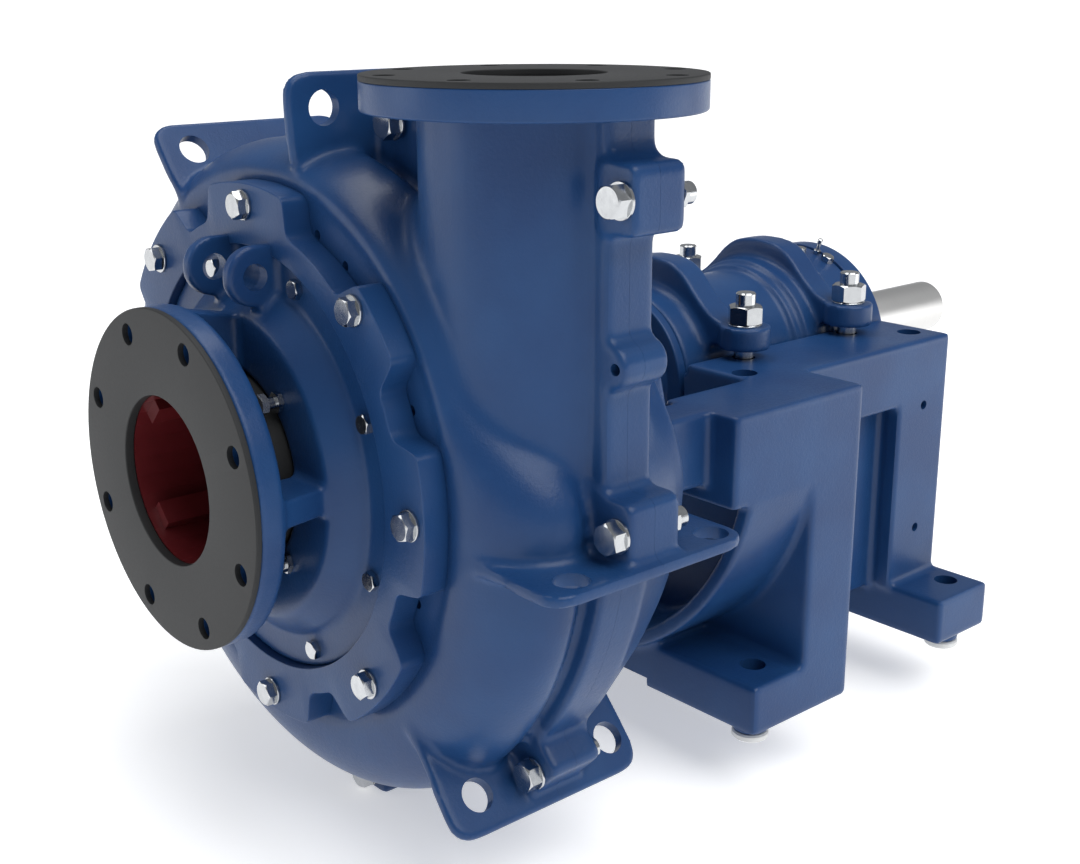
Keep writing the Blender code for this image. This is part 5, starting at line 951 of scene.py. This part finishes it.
def discharge():
    """Painted flange and its rubber facing."""
    top = OUTLET_TOP - OUTLET_FACING
    low = top - OUTLET_FLANGE_THICKNESS
    bm = bmesh.new()
    add_turned(bm, [(low, NOZZLE_BORE_R, 0), (low, OUTLET_FLANGE_R, CAST_EDGE), (top, OUTLET_FLANGE_R, EDGE),
                    (top, NOZZLE_BORE_R, 0)], matrix=upright_matrix())
    flange = carve(object_of(bm, "discharge_flange"), outlet_holes())
    dress(flange, "navy_paint", "pedestal")
    bm = bmesh.new()
    add_turned(bm, [(top, OUTLET_BORE_R, 0), (top, OUTLET_FLANGE_R, EDGE / 2),
                    (OUTLET_TOP, OUTLET_FLANGE_R, EDGE), (OUTLET_TOP, OUTLET_BORE_R, EDGE)],
               matrix=upright_matrix())
    facing = carve(object_of(bm, "discharge_facing"), outlet_holes())
    dress(facing, "black_rubber", "pedestal", "discharge_gasket")


# Suction end

def cover_rim():
    """(clock angle, radius) round the cover's rim: a lobe at each bolt, a rounded notch between two."""
    rim = []
    for index in range(COVER_BOLTS):
        bolt = index * math.tau / COVER_BOLTS
        degrees = NOTCH if index else FIRST_NOTCH
        mouth, floor, floor_end, mouth_end = (COVER_R * math.radians(d) for d in degrees)
        line = rounded([
            (0, COVER_R, 0), (mouth, COVER_R, LOBE_CORNER), (floor, COVER_NOTCH_R, NOTCH_CORNER),
            (floor_end, COVER_NOTCH_R, NOTCH_CORNER), (mouth_end, COVER_R, LOBE_CORNER),
            (COVER_R * math.tau / COVER_BOLTS, COVER_R, 0),
        ], closed=False)
        for (u, r), (u_next, r_next) in zip(line, line[1:]):
            parts = max(1, round((u_next - u) / RIM_POINT_SPACING))
            for k in range(parts):
                along = u + (u_next - u) * k / parts
                rim.append((bolt + along / COVER_R, r + (r_next - r) * k / parts))
    return rim


def suction_cover():
    """A plate with a notched rim, a seat for the spool's ring and a spigot into the casing."""
    rim = dict(cover_rim())
    seat, seat_r = RING_REAR + SEAT_GAP, RING_R + RIM_GAP

    def section(angle):
        return rounded([
            (seat, COVER_BORE_R, 0), (seat, seat_r, 0), (COVER_FRONT, seat_r, EDGE),
            (COVER_FRONT, rim[angle], EDGE), (COVER_REAR, rim[angle], 0), (COVER_REAR, COVER_SPIGOT_R, 0),
            (COVER_SPIGOT_END, COVER_SPIGOT_R, 0), (COVER_SPIGOT_END, COVER_BORE_R, 0),
        ])
    bm = bmesh.new()
    add_loft(bm, section, angles=list(rim))
    cover = object_of(bm, "cast_suction_cover")
    bm = bmesh.new()
    add_holes(bm, COVER_FRONT - OVERRUN, COVER_REAR + OVERRUN, COVER_CIRCLE, COVER_HOLE_R, COVER_BOLTS)
    carve(cover, bm)
    return dress(cover, "navy_paint", "pedestal", "suction_cover")


def suction_spool():
    """Flange, ribs, tapered drum and bolted ring in one casting, with two lifting ears along the shaft."""
    bm = bmesh.new()
    add_turned(bm, [
        (DRUM_FRONT, DRUM_THROAT_R, EDGE), (DRUM_FRONT, DRUM_FRONT_R, DRUM_FRONT_EDGE),
        (DRUM_REAR, DRUM_REAR_R, DRUM_REAR_EDGE), (RING_FRONT, DRUM_REAR_R, 0), (RING_FRONT, RING_R, EDGE),
        (RING_REAR, RING_R, 0), (RING_REAR, CHAMBER_R, 0), (DRUM_FRONT + DRUM_WALL, CHAMBER_R, 0),
        (DRUM_FRONT + DRUM_WALL, DRUM_THROAT_R, 0),
    ])
    add_turned(bm, [(FACING + SPLIT_GAP, NECK_R + SPLIT_GAP, 0), (FACING + SPLIT_GAP, FLANGE_R, 0),
                    (FLANGE_REAR, FLANGE_R, CAST_EDGE), (FLANGE_REAR, NECK_R + SPLIT_GAP, 0)])
    start, end = FLANGE_REAR - CAST_EDGE, DRUM_FRONT + CAST_EDGE
    root = NECK_R + RIB_ROOT
    outline = [(at(start), root), (at(start), RIB_TOP_R), (at(end), DRUM_FRONT_R - CAST_EDGE),
               (at(end), root)]
    for index in range(RIB_COUNT):
        add_prism(bm, outline, RIB_WIDTH, Matrix.Rotation(index * RIGHT, 4, "X") @ beside(RIB_WIDTH / 2))
    for side in (-1, 1):
        outline = arc((at(EAR_SETBACK), EAR_Z), EAR_R, RIGHT, 3 * RIGHT, 24)
        outline += [(at(RING_FRONT + CAST_EDGE), EAR_Z - EAR_R), (at(RING_FRONT + CAST_EDGE), EAR_Z + EAR_R)]
        add_prism(bm, outline, EAR_THICKNESS, beside(side * EAR_Y + EAR_THICKNESS / 2))
    spool = cast(bm, "cast_suction_spool", FINE_VOXEL, SPOOL_FILLET, 1)
    bm = bmesh.new()
    for side in (-1, 1):
        add_rod(bm, (at(EAR_SETBACK), side * EAR_Y - EAR_THICKNESS, EAR_Z), (0, 1, 0), 2 * EAR_THICKNESS,
                EAR_HOLE_R)
    add_holes(bm, -OVERRUN, FLANGE_REAR + OVERRUN, SUCTION_CIRCLE, SUCTION_HOLE_R, FLANGE_HOLES,
              math.pi / FLANGE_HOLES)
    add_holes(bm, DRUM_FRONT - OVERRUN, DRUM_FRONT + DRUM_WALL + OVERRUN, ADJUSTER_CIRCLE, ADJUSTER_HOLE_R,
              RIB_COUNT, RIGHT / 2)
    carve(spool, bm)
    return dress(spool, "navy_paint", "pedestal", "suction_spool")


def suction_facing():
    """The rubber sleeve, turned out over the flange as its facing."""
    bm = bmesh.new()
    add_turned(bm, [
        (0, BORE_R, EDGE), (0, FLANGE_R, EDGE), (FACING, FLANGE_R, EDGE / 2), (FACING, NECK_R, 0),
        (NECK_END, NECK_R, 0), (NECK_END, NECK_BORE_R, 0), (LIP_END, NECK_BORE_R, 0), (LIP_END, BORE_R, EDGE),
    ])
    facing = object_of(bm, "rubber_suction_facing")
    bm = bmesh.new()
    add_holes(bm, -OVERRUN, FACING + OVERRUN, SUCTION_CIRCLE, SUCTION_HOLE_R, FLANGE_HOLES,
              math.pi / FLANGE_HOLES)
    carve(facing, bm)
    return dress(facing, "black_rubber", "pedestal", "suction_sleeve")


# Fasteners

def skin_upright(bm, sections, matrix):
    """Sections from the axis out and back, one for each turn, skinned all round."""
    rings = [[bm.verts.new(matrix @ Vector(point)) for point in section] for section in sections]
    for here, there in zip(rings, rings[1:] + rings[:1]):
        for a, b, c, d in zip(here, here[1:], there[1:], there):
            bm.faces.new((a, b, c, d))
    bmesh.ops.remove_doubles(bm, verts=bm.verts, dist=1e-6)


def add_hex(bm, flats, low, high, matrix, chamfer_low=False):
    """A hexagon with its corners turned off at the top, and at the foot too for a nut."""
    circle = flats / 2 * HEX_FACE_SHARE
    slope = math.tan(HEX_CHAMFER)
    rings = []
    for step in range(HEX_STEPS):
        turn = math.tau * step / HEX_STEPS
        reach = (flats / 2) / math.cos((turn + math.pi / 6) % (math.pi / 3) - math.pi / 6)
        cut = (reach - circle) * slope
        line = [(0, low), (circle if chamfer_low else reach, low)]
        if chamfer_low:
            line.append((reach, low + cut))
        line += [(reach, high - cut), (circle, high), (0, high)]
        rings.append([(r * math.cos(turn), r * math.sin(turn), z) for r, z in line])
    skin_upright(bm, rings, matrix)


def add_pin(bm, radius, low, high, matrix, edge=PIN_EDGE, steps=HEX_STEPS):
    """A round bar with small chamfers."""
    line = [(0, low), (radius - edge, low), (radius, low + edge), (radius, high - edge),
            (radius - edge, high), (0, high)]
    turns = [math.tau * step / steps for step in range(steps)]
    rings = [[(r * math.cos(turn), r * math.sin(turn), z) for r, z in line] for turn in turns]
    skin_upright(bm, rings, matrix)


def towards(place, direction, turn=0.0):
    """A frame at this place whose Z is the direction."""
    return (Matrix.Translation(place) @ Vector(direction).to_track_quat("Z", "Y").to_matrix().to_4x4()
            @ Matrix.Rotation(turn, 4, "Z"))


def bolt_along_shaft(name, place, bolt, reach, turn, washer=None, nodes=()):
    """A bolt put in from the suction side, its head or washer on the face at this place."""
    flats, head, shank_r = bolt
    matrix = towards(place, (-1, 0, 0), turn)
    bm = bmesh.new()
    base = 0.0
    if washer:
        radius, base, edge = washer
        add_pin(bm, radius, 0, base, matrix, edge)
    add_hex(bm, flats, base, base + head, matrix)
    add_pin(bm, shank_r, -reach, base + head / 2, matrix)
    return dress(object_of(bm, name), "zinc", "pedestal", *nodes, smooth=BOLT_ANGLE)


def cover_fasteners():
    """A bolt through each lobe of the cover, and a smaller one through the spool's ring between each two."""
    for index in range(COVER_BOLTS):
        place = (at(COVER_FRONT), *clock(COVER_CIRCLE, index * math.tau / COVER_BOLTS))
        bolt_along_shaft("hex_cover_bolt_%d" % (index + 1), place, COVER_BOLT, COVER_BOLT_REACH,
                         COVER_BOLT_TURN * index, COVER_WASHER, ("cover_bolt_%d" % (index + 1),))
        place = (at(RING_FRONT), *clock(RING_BOLT_CIRCLE, (index + 0.5) * math.tau / COVER_BOLTS))
        bolt_along_shaft("hex_ring_bolt_%d" % (index + 1), place, RING_BOLT, RING_BOLT_REACH,
                         RING_BOLT_START + RING_BOLT_TURN * index)


def adjuster_fasteners():
    """The bolts that push the wear ring, which move with it, and their lock nuts on the drum."""
    flats, head, shank_r = ADJUSTER
    for index in range(RIB_COUNT):
        node = "adjuster_bolt_%d" % (index + 1)
        low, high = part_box(node)
        y, z = clock(ADJUSTER_CIRCLE, (index + 0.5) * RIGHT)
        matrix = towards((low.x, y, z), (1, 0, 0), ADJUSTER_TURN * index)
        bm = bmesh.new()
        add_hex(bm, flats, 0, head, matrix)
        add_pin(bm, shank_r, head / 2, high.x - low.x, matrix)
        dress(object_of(bm, "hex_" + node), "zinc", "wear_ring_carrier", node, smooth=BOLT_ANGLE)
        bm = bmesh.new()
        matrix = towards((at(DRUM_FRONT), y, z), (-1, 0, 0), LOCK_NUT_TURN)
        add_hex(bm, flats, 0, LOCK_NUT_HEIGHT, matrix, True)
        dress(object_of(bm, "adjuster_lock_nut_%d" % (index + 1)), "zinc", "pedestal", smooth=BOLT_ANGLE)


def parting_fasteners():
    """A bolt and nut through each boss of the parting flange."""
    flats, head, shank_r = PARTING_BOLT
    nut_flats, nut_height = PARTING_NUT
    washer_r, base, edge = PARTING_WASHER
    nut = FLANGE_FRONT - FLANGE_BACK - 1.5 * BOSS_PROUD
    for index, (y, z) in enumerate(parting_places()):
        matrix = towards((at(FLANGE_FRONT - BOSS_PROUD), y, z), (-1, 0, 0), PARTING_TURN * index)
        bm = bmesh.new()
        add_pin(bm, washer_r, 0, base, matrix, edge)
        add_hex(bm, flats, base, base + head, matrix)
        add_pin(bm, shank_r, nut - PARTING_TIP, PARTING_SHANK_TOP, matrix)
        add_hex(bm, nut_flats, nut - nut_height, nut, matrix, True)
        dress(object_of(bm, "hex_parting_bolt_%d" % (index + 1)), "zinc", "pedestal",
              "parting_bolt_%d" % (index + 1), smooth=BOLT_ANGLE)


def hold_downs():
    """A stud in the block, with its washer and nut on the housing's ear."""
    washer_r, washer, edge = HOLD_DOWN_WASHER
    flats, nut_height = HOLD_DOWN_NUT
    base = EAR_TOP_Z + washer
    index = 0
    for centre in (FRONT_BEARING, REAR_BEARING):
        for side in (-1, 1):
            index += 1
            matrix = towards((at(centre), side * STUD_Y, 0), (0, 0, 1), HOLD_DOWN_TURN * index)
            bm = bmesh.new()
            add_pin(bm, STUD_R, STUD_FOOT, STUD_TOP, matrix, STUD_EDGE)
            add_pin(bm, washer_r, EAR_TOP_Z, base, matrix, edge)
            add_hex(bm, flats, base, base + nut_height, matrix, True)
            dress(object_of(bm, "stud_and_nut_%d" % index), "zinc", "pedestal", "hold_down_%d" % index,
                  smooth=BOLT_ANGLE)


# Drive end

def hump_outline():
    """A cradle hump from its foot over the top and down, as a smooth curve through its heights."""
    tops = HUMP_HEIGHTS
    smooth = []
    for k in range(len(tops) - 1):
        a = tops[k - 1] if k else (-tops[1][0], tops[1][1])
        b, c = tops[k], tops[k + 1]
        d = tops[k + 2] if k + 2 < len(tops) else (STUD_Y, EAR_TOP_Z)
        for step in range(HUMP_STEPS):
            t = step / HUMP_STEPS
            smooth.append(tuple(
                0.5 * (2 * q + (r - p) * t + (2 * p - 5 * q + 4 * r - s) * t ** 2
                       + (3 * q - p - 3 * r + s) * t ** 3) for p, q, r, s in zip(a, b, c, d)))
    right = smooth + [tops[-1], (STUD_Y, EAR_TOP_Z), (STUD_Y, EAR_BOTTOM_Z)]
    return [(-y, z) for y, z in right[:0:-1]] + right


def bearing_housing():
    """Barrel and humps run together, then the rear band, ears and screw block added, and all bored."""
    core = HOUSING_CORE_R
    bm = bmesh.new()
    add_turned(bm, [
        (BARREL_FRONT, core, 0), (BARREL_FRONT, BARREL_R, EDGE), (REAR_BEARING, BARREL_R, 0),
        (REAR_BEARING, core, 0),
    ])
    for centre in (FRONT_BEARING, REAR_BEARING):
        add_prism(bm, hump_outline()[::-1], HUMP_WIDTH, across(centre - HUMP_WIDTH / 2))
    form = cast(bm, "cast_housing_form", FINE_VOXEL, HOUSING_FILLET, 1)
    bm = bmesh.new()
    bm.from_mesh(form.data)
    bpy.data.objects.remove(form)
    low_r, high_r = REAR_BAND_R - REAR_BAND_HOLLOW, REAR_BAND_R + REAR_BAND_RISE
    add_turned(bm, [
        (REAR_BAND_FRONT, core, 0), (REAR_BAND_FRONT, low_r, CAST_EDGE),
        (REAR_BAND_STEP[0], low_r, REAR_BAND_CORNER), (REAR_BAND_STEP[1], high_r, CAST_EDGE),
        (REAR_BEARING, high_r, 0), (REAR_BEARING, REAR_END_R, 0), (BARREL_REAR, REAR_END_R, EDGE),
        (BARREL_REAR, core, 0),
    ])
    for centre in (FRONT_BEARING, REAR_BEARING):
        for side in (-1, 1):
            add_rod(bm, (at(centre), side * STUD_Y, EAR_BOTTOM_Z), (0, 0, 1), EAR_TOP_Z - EAR_BOTTOM_Z,
                    FOOT_EAR_R, BOSS_STEPS)
    add_block(bm, (at(SCREW_BLOCK[0]), -SCREW_BLOCK_HALF, SCREW_Z - SCREW_BLOCK_HALF),
              (at(SCREW_BLOCK[1]), SCREW_BLOCK_HALF, SCREW_BLOCK_TOP))
    housing = cast(bm, "cast_bearing_housing", FINE_VOXEL, FLANGE_FILLET, 1)
    bm = bmesh.new()
    add_rod(bm, (at(BARREL_FRONT - OVERRUN), 0, 0), (1, 0, 0), BARREL_REAR - BARREL_FRONT + 2 * OVERRUN,
            RACE_SEAT_R, PIPE_STEPS)
    carve(housing, bm)
    bm = bmesh.new()
    for centre in (FRONT_BEARING, REAR_BEARING):
        for side in (-1, 1):
            outline = arc((at(centre), side * STUD_Y), STUD_HOLE_R, -RIGHT, RIGHT)
            outline += arc((at(centre) - STUD_SLOT, side * STUD_Y), STUD_HOLE_R, RIGHT, 3 * RIGHT)
            add_prism(bm, outline, EAR_CUT_HEIGHT, Matrix.Translation((0, 0, EAR_CUT_Z)))
    add_rod(bm, (at(SCREW_HOLE_START), 0, SCREW_Z), (1, 0, 0), SCREW_HOLE_LENGTH, SCREW_HOLE_R)
    carve(housing, bm)
    return dress(housing, "navy_paint", "cartridge", "bearing_housing")


def grease_fittings():
    """Two hex plugs and a nipple on the barrel's rear end."""
    for name, setback, degrees, flats, height in GREASE_FITTINGS:
        angle = math.radians(degrees)
        place = (at(setback), *clock(REAR_END_R - FITTING_LAP, angle))
        matrix = towards(place, (0, *clock(1, angle)), FITTING_TURN)
        bm = bmesh.new()
        add_hex(bm, flats, 0, height, matrix)
        if name == "grease_nipple":
            for radius, low, high, edge in (NIPPLE_NECK, NIPPLE_HEAD):
                add_pin(bm, radius, low, high, matrix, edge, NIPPLE_STEPS)
        dress(object_of(bm, name), "zinc", "cartridge", smooth=BOLT_ANGLE)


def end_covers():
    """The conical cover behind the seal, and the cover round the bare shaft end."""
    bm = bmesh.new()
    add_turned(bm, [
        (FRONT_END_FACE, SEAL_BORE_R, EDGE), (FRONT_END_FACE, FRONT_END_NOSE_R, CAST_EDGE),
        (FRONT_END_STEP, FRONT_END_STEP_R, CAST_EDGE), (FRONT_END_STEP, FRONT_END_R, CAST_EDGE),
        (FRONT_END_SEAT, FRONT_END_R, EDGE), (FRONT_END_SEAT, END_SPIGOT_R, 0),
        (FRONT_END_SPIGOT, END_SPIGOT_R, 0), (FRONT_END_SPIGOT, SEAL_BORE_R, 0),
    ])
    dress(object_of(bm, "conical_front_cover"), "navy_paint", "cartridge", "front_end_cover")
    bm = bmesh.new()
    add_turned(bm, [
        (REAR_END_SPIGOT, SEAL_BORE_R, 0), (REAR_END_SPIGOT, END_SPIGOT_R, 0),
        (REAR_END_SEAT, END_SPIGOT_R, 0), (REAR_END_SEAT, REAR_COVER_R, EDGE),
        (REAR_END_BEND, REAR_COVER_R, REAR_END_BEND_EDGE),
        (REAR_END_FACE, REAR_END_FACE_R, CAST_EDGE), (REAR_END_FACE, REAR_END_LIP_R, EDGE),
        (REAR_END_LIP, REAR_END_LIP_R, 0), (REAR_END_LIP, SEAL_BORE_R, 0),
    ])
    dress(object_of(bm, "tapered_rear_cover"), "navy_paint", "cartridge", "rear_end_cover")


def pedestal_form():
    """Casing ring, arms, legs with the half-round shell, rails, posts, feet and walls."""
    foot_top = FLOOR_Z + FOOT_HEIGHT
    bm = bmesh.new()
    add_turned(bm, [(ADAPTER[0], ADAPTER_BORE_R, 0), (ADAPTER[0], ADAPTER_R, 0), (ADAPTER[1], ADAPTER_R, 0),
                    (ADAPTER[1], ADAPTER_BORE_R, 0)])

    def block(front, rear, inner, outer, low, high):
        for side in (-1, 1):
            ys = sorted((side * inner, side * outer))
            add_block(bm, (at(front), ys[0], low), (at(rear), ys[1], high))
    block(ADAPTER[0] + LAP, FRAME_FRONT + 2 * LAP, ARM_Y - ARM_WIDTH, ARM_Y, ARM_Z, RAIL_TOP)
    block(FRAME_FRONT, LEG_REAR, POST_Y - SKIRT, LEG_Y, SIDE_FOOT_Z, RAIL_TOP)
    block(WALL_FRONT, LEG_REAR, LEG_Y - LEG_WALL, LEG_Y, foot_top - LAP, SIDE_FOOT_Z + LAP)
    block(WALL_FRONT, FRAME_REAR, RAIL_INNER_Y, POST_Y, RAIL_TOP - RAIL_DEPTH, RAIL_TOP)
    block(LEG_REAR - LAP, FRAME_REAR, POST_Y - SKIRT, POST_Y, SKIRT_Z, RAIL_TOP)
    block(POST_FRONT, FRAME_REAR, POST_Y - SKIRT, POST_Y, foot_top - LAP, SKIRT_Z + LAP)
    block(WALL_FRONT + LAP, FRAME_REAR - LAP, *WEB_PANEL, foot_top - 2 * LAP, RAIL_TOP - RAIL_DEPTH + LAP)
    block(FRONT_FOOT_FRONT, LEG_REAR, 0, LEG_Y, FLOOR_Z, foot_top)
    block(*REAR_FOOT, 0, REAR_FOOT_Y, FLOOR_Z, foot_top)
    block(WALL_FRONT, WALL_FRONT + WALL_THICKNESS, 0, LEG_Y - LEG_WALL / 2, FLOOR_Z + LAP,
          RAIL_TOP - RAIL_DEPTH / 2)
    block(*REAR_WALL, 0, WEB_PANEL[1] - REAR_WALL_INSET, FLOOR_Z + LAP, RAIL_TOP - RAIL_DEPTH / 2)
    for centre in (FRONT_BEARING, REAR_BEARING):
        for side in (-1, 1):
            add_rod(bm, (at(centre), side * STUD_Y, SEAT_FOOT_Z), (0, 0, 1), SEAT_HEIGHT, SEAT_R)
    shell_end = WALL_FRONT + LAP
    line = [(SHELL_FRONT, SHELL_R - SHELL_WALL), (SHELL_FRONT, SHELL_R), (shell_end, SHELL_R),
            (shell_end, SHELL_R - SHELL_WALL)]
    half = math.acos((SIDE_FOOT_Z + LAP) / SHELL_R)
    add_loft(bm, lambda angle: line, PIPE_STEPS, start=half, sweep=math.tau - 2 * half)
    for side in (-1, 1):
        for s, y in FOOT_HOLES:
            add_rod(bm, (at(s), side * y, BOSS_FOOT_Z), (0, 0, 1), FLOOR_Z + LAP - BOSS_FOOT_Z, PAD_R,
                    BOSS_STEPS)
    return cast(bm, "cast_pedestal", CAST_VOXEL, PEDESTAL_FILLET, 0)


def pedestal():
    """The stand, with room for the housing and every hole in feet, rails, posts and stud seats."""
    frame_piece = pedestal_form()
    bm = bmesh.new()
    for front, radius in ((FRAME_FRONT, BARREL_ROOM_R), (REAR_ROOM, REAR_ROOM_R)):
        add_rod(bm, (at(front), 0, 0), (1, 0, 0), FRAME_REAR - front + OVERRUN, radius, PIPE_STEPS)
    carve(frame_piece, bm)
    bm = bmesh.new()
    for side in (-1, 1):
        for s, y in FOOT_HOLES:
            add_rod(bm, (at(s), side * y, FLOOR_Z), (0, 0, 1), FOOT_HEIGHT + OVERRUN, FOOT_HOLE_R)
        for s, y in RAIL_HOLES:
            add_rod(bm, (at(s), side * y, RAIL_TOP - RAIL_HOLE_DEPTH), (0, 0, 1), RAIL_HOLE_LENGTH,
                    RAIL_HOLE_R)
        for z in POST_HOLES_Z:
            add_rod(bm, (at(POST_HOLE), side * (POST_Y + OVERRUN), z), (0, -side, 0), POST_HOLE_DEPTH,
                    POST_HOLE_R)
        for s in (FRONT_BEARING, REAR_BEARING):
            add_rod(bm, (at(s), side * STUD_Y, SEAT_HOLE_FOOT_Z), (0, 0, 1), SEAT_HOLE_LENGTH,
                    STUD_R + STUD_ROOM)
    add_rod(bm, (at(REAR_WALL[0] - OVERRUN), 0, SCREW_Z), (1, 0, 0), SCREW_WALL_HOLE_LENGTH,
            SCREW_WALL_HOLE_R)
    for front, rear in ((FRONT_FOOT_FRONT, LEG_REAR), REAR_FOOT):
        add_block(bm, (at(front) - OVERRUN, -FOOT_RELIEF_Y, FLOOR_Z - OVERRUN),
                  (at(rear) + OVERRUN, FOOT_RELIEF_Y, FLOOR_Z + FOOT_RELIEF))
    carve(frame_piece, bm)
    return dress(frame_piece, "navy_paint", "pedestal", "pedestal_frame")


def shaft():
    """The stepped shaft, with a keyway in its bare end on the far side."""
    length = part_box("shaft")[1].x - SUCTION_X
    line = [(SHAFT_NOSE, 0, 0)]
    start = SHAFT_NOSE
    for end, radius, edge in SHAFT_STEPS:
        line += [(start, radius, edge), (end, radius, 0)]
        start = end
    line += [(start, SHAFT_R, 0), (length, SHAFT_R, SHAFT_END_EDGE), (length, 0, 0)]
    bm = bmesh.new()
    add_turned(bm, line, closed=False)
    piece = object_of(bm, "turned_shaft")
    bm = bmesh.new()
    add_block(bm, (at(length - KEYWAY_LENGTH), SHAFT_R - KEYWAY_DEPTH, -KEYWAY_HALF),
              (at(length) + OVERRUN, KEYWAY_TOP, KEYWAY_HALF))
    carve(piece, bm)
    return dress(piece, "shaft_steel", "rotor", "shaft")


def foot_pads():
    """White discs under the painted bosses of the feet."""
    for index in range(1, 5):
        low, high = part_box("foot_pad_%d" % index)
        middle = (low + high) / 2
        bm = bmesh.new()
        add_pin(bm, PAD_R, PAD_FOOT_Z, BOSS_FOOT_Z, Matrix.Translation((middle.x, middle.y, 0)), PAD_EDGE)
        dress(object_of(bm, "round_pad_%d" % index), "nylon", "pedestal", "foot_pad_%d" % index)


# Stage

def camera():
    back = Vector((math.sin(CAMERA_AZIMUTH) * math.cos(CAMERA_ELEVATION),
                   -math.cos(CAMERA_AZIMUTH) * math.cos(CAMERA_ELEVATION), math.sin(CAMERA_ELEVATION)))
    right = Vector((0, 0, 1)).cross(back).normalized()
    up = back.cross(right)
    turned_right = right * math.cos(CAMERA_ROLL) + up * math.sin(CAMERA_ROLL)
    turned_up = up * math.cos(CAMERA_ROLL) - right * math.sin(CAMERA_ROLL)
    data = bpy.data.cameras.new("camera")
    data.lens, data.sensor_width = CAMERA_LENS, SENSOR
    data.clip_start, data.clip_end = CLIP_START, 2 * FLOOR_HALF
    made = bpy.data.objects.new("camera", data)
    turn = Matrix((turned_right, turned_up, back)).transposed().to_4x4()
    made.matrix_world = Matrix.Translation(CAMERA_PLACE) @ turn
    bpy.context.scene.collection.objects.link(made)
    bpy.context.scene.camera = made


def area_light(name, place, target, width, height, power):
    data = bpy.data.lights.new(name, "AREA")
    data.shape, data.size, data.size_y, data.energy = "RECTANGLE", width, height, power
    made = bpy.data.objects.new(name, data)
    made.location = place
    made.rotation_euler = (Vector(target) - Vector(place)).to_track_quat("-Z", "Y").to_euler()
    bpy.context.scene.collection.objects.link(made)


def sun_light(name, source, strength, spread):
    """Even light from far off in this direction, with shadows as soft as the spread."""
    data = bpy.data.lights.new(name, "SUN")
    data.energy, data.angle = strength, spread
    made = bpy.data.objects.new(name, data)
    made.rotation_euler = Vector(source).to_track_quat("Z", "Y").to_euler()
    bpy.context.scene.collection.objects.link(made)


def studio():
    middle = (CAD_BOX[0] + CAD_BOX[1]) / 2
    bm = bmesh.new()
    bmesh.ops.create_grid(bm, x_segments=1, y_segments=1, size=FLOOR_HALF)
    floor = object_of(bm, "pale_floor")
    floor.location = (middle.x, middle.y, CAD_BOX[0].z - FLOOR_DROP)
    floor.data.materials.append(grained("pale_studio_floor", {"IOR": 1.45, "Specular IOR Level": 0.0},
                                        "#f2f2f2", "#f6f6f6", 400, (0.9, 1.0), 0.01))
    shader = floor.data.materials[0].node_tree.nodes["Principled BSDF"]
    shader.inputs["Emission Color"].default_value = linear("#ffffff")
    shader.inputs["Emission Strength"].default_value = FLOOR_GLOW
    world = bpy.data.worlds.new("studio")
    bpy.context.scene.world = world
    world.use_nodes = True
    background = world.node_tree.nodes["Background"]
    background.inputs["Color"].default_value = linear("#f4f7fc")
    # As bright as the floor up to the first height, so that no horizon shows, then down to the sky's strength
    tree = world.node_tree
    direction = add(tree, "ShaderNodeTexCoord").outputs["Generated"]
    height = add(tree, "ShaderNodeSeparateXYZ", None, {"Vector": direction}).outputs["Z"]
    fade = add(tree, "ShaderNodeMapRange",
               {"From Min": HORIZON[0], "From Max": HORIZON[1], "To Min": 1.0, "To Max": SKY_STRENGTH},
               {"Value": height})
    tree.links.new(fade.outputs["Result"], background.inputs["Strength"])
    sun_light("right_sail", *RIGHT_SAIL)
    low_aim = (middle.x + LOW_RIGHT_AIM[0], *LOW_RIGHT_AIM[1:])
    for name, aim, ((x, y, z), width, height, watts) in (
            ("overhead_softbox", middle, OVERHEAD_SOFTBOX), ("low_right_softbox", low_aim, LOW_RIGHT_SOFTBOX),
            ("left_softbox", middle, LEFT_SOFTBOX)):
        area_light(name, (middle.x + x, middle.y + y, z), aim, width, height, watts)
    bpy.context.scene.view_settings.view_transform = "Standard"


def carried_over_nodes():
    """Nodes that stay as packed get the finish of their slot."""
    for name, obj in frame["nodes"].items():
        obj.data.materials.clear()
        obj.data.materials.append(SLOT_MATERIALS[NODE_SLOTS[name]])
        obj.data.shade_smooth()
        obj.data.set_sharp_from_angle(angle=SHARP_ANGLE)


camera()
studio()
carried_over_nodes()
casing()
discharge()
suction_cover()
suction_spool()
suction_facing()
cover_fasteners()
adjuster_fasteners()
parting_fasteners()
bearing_housing()
grease_fittings()
end_covers()
hold_downs()
pedestal()
shaft()
foot_pads()
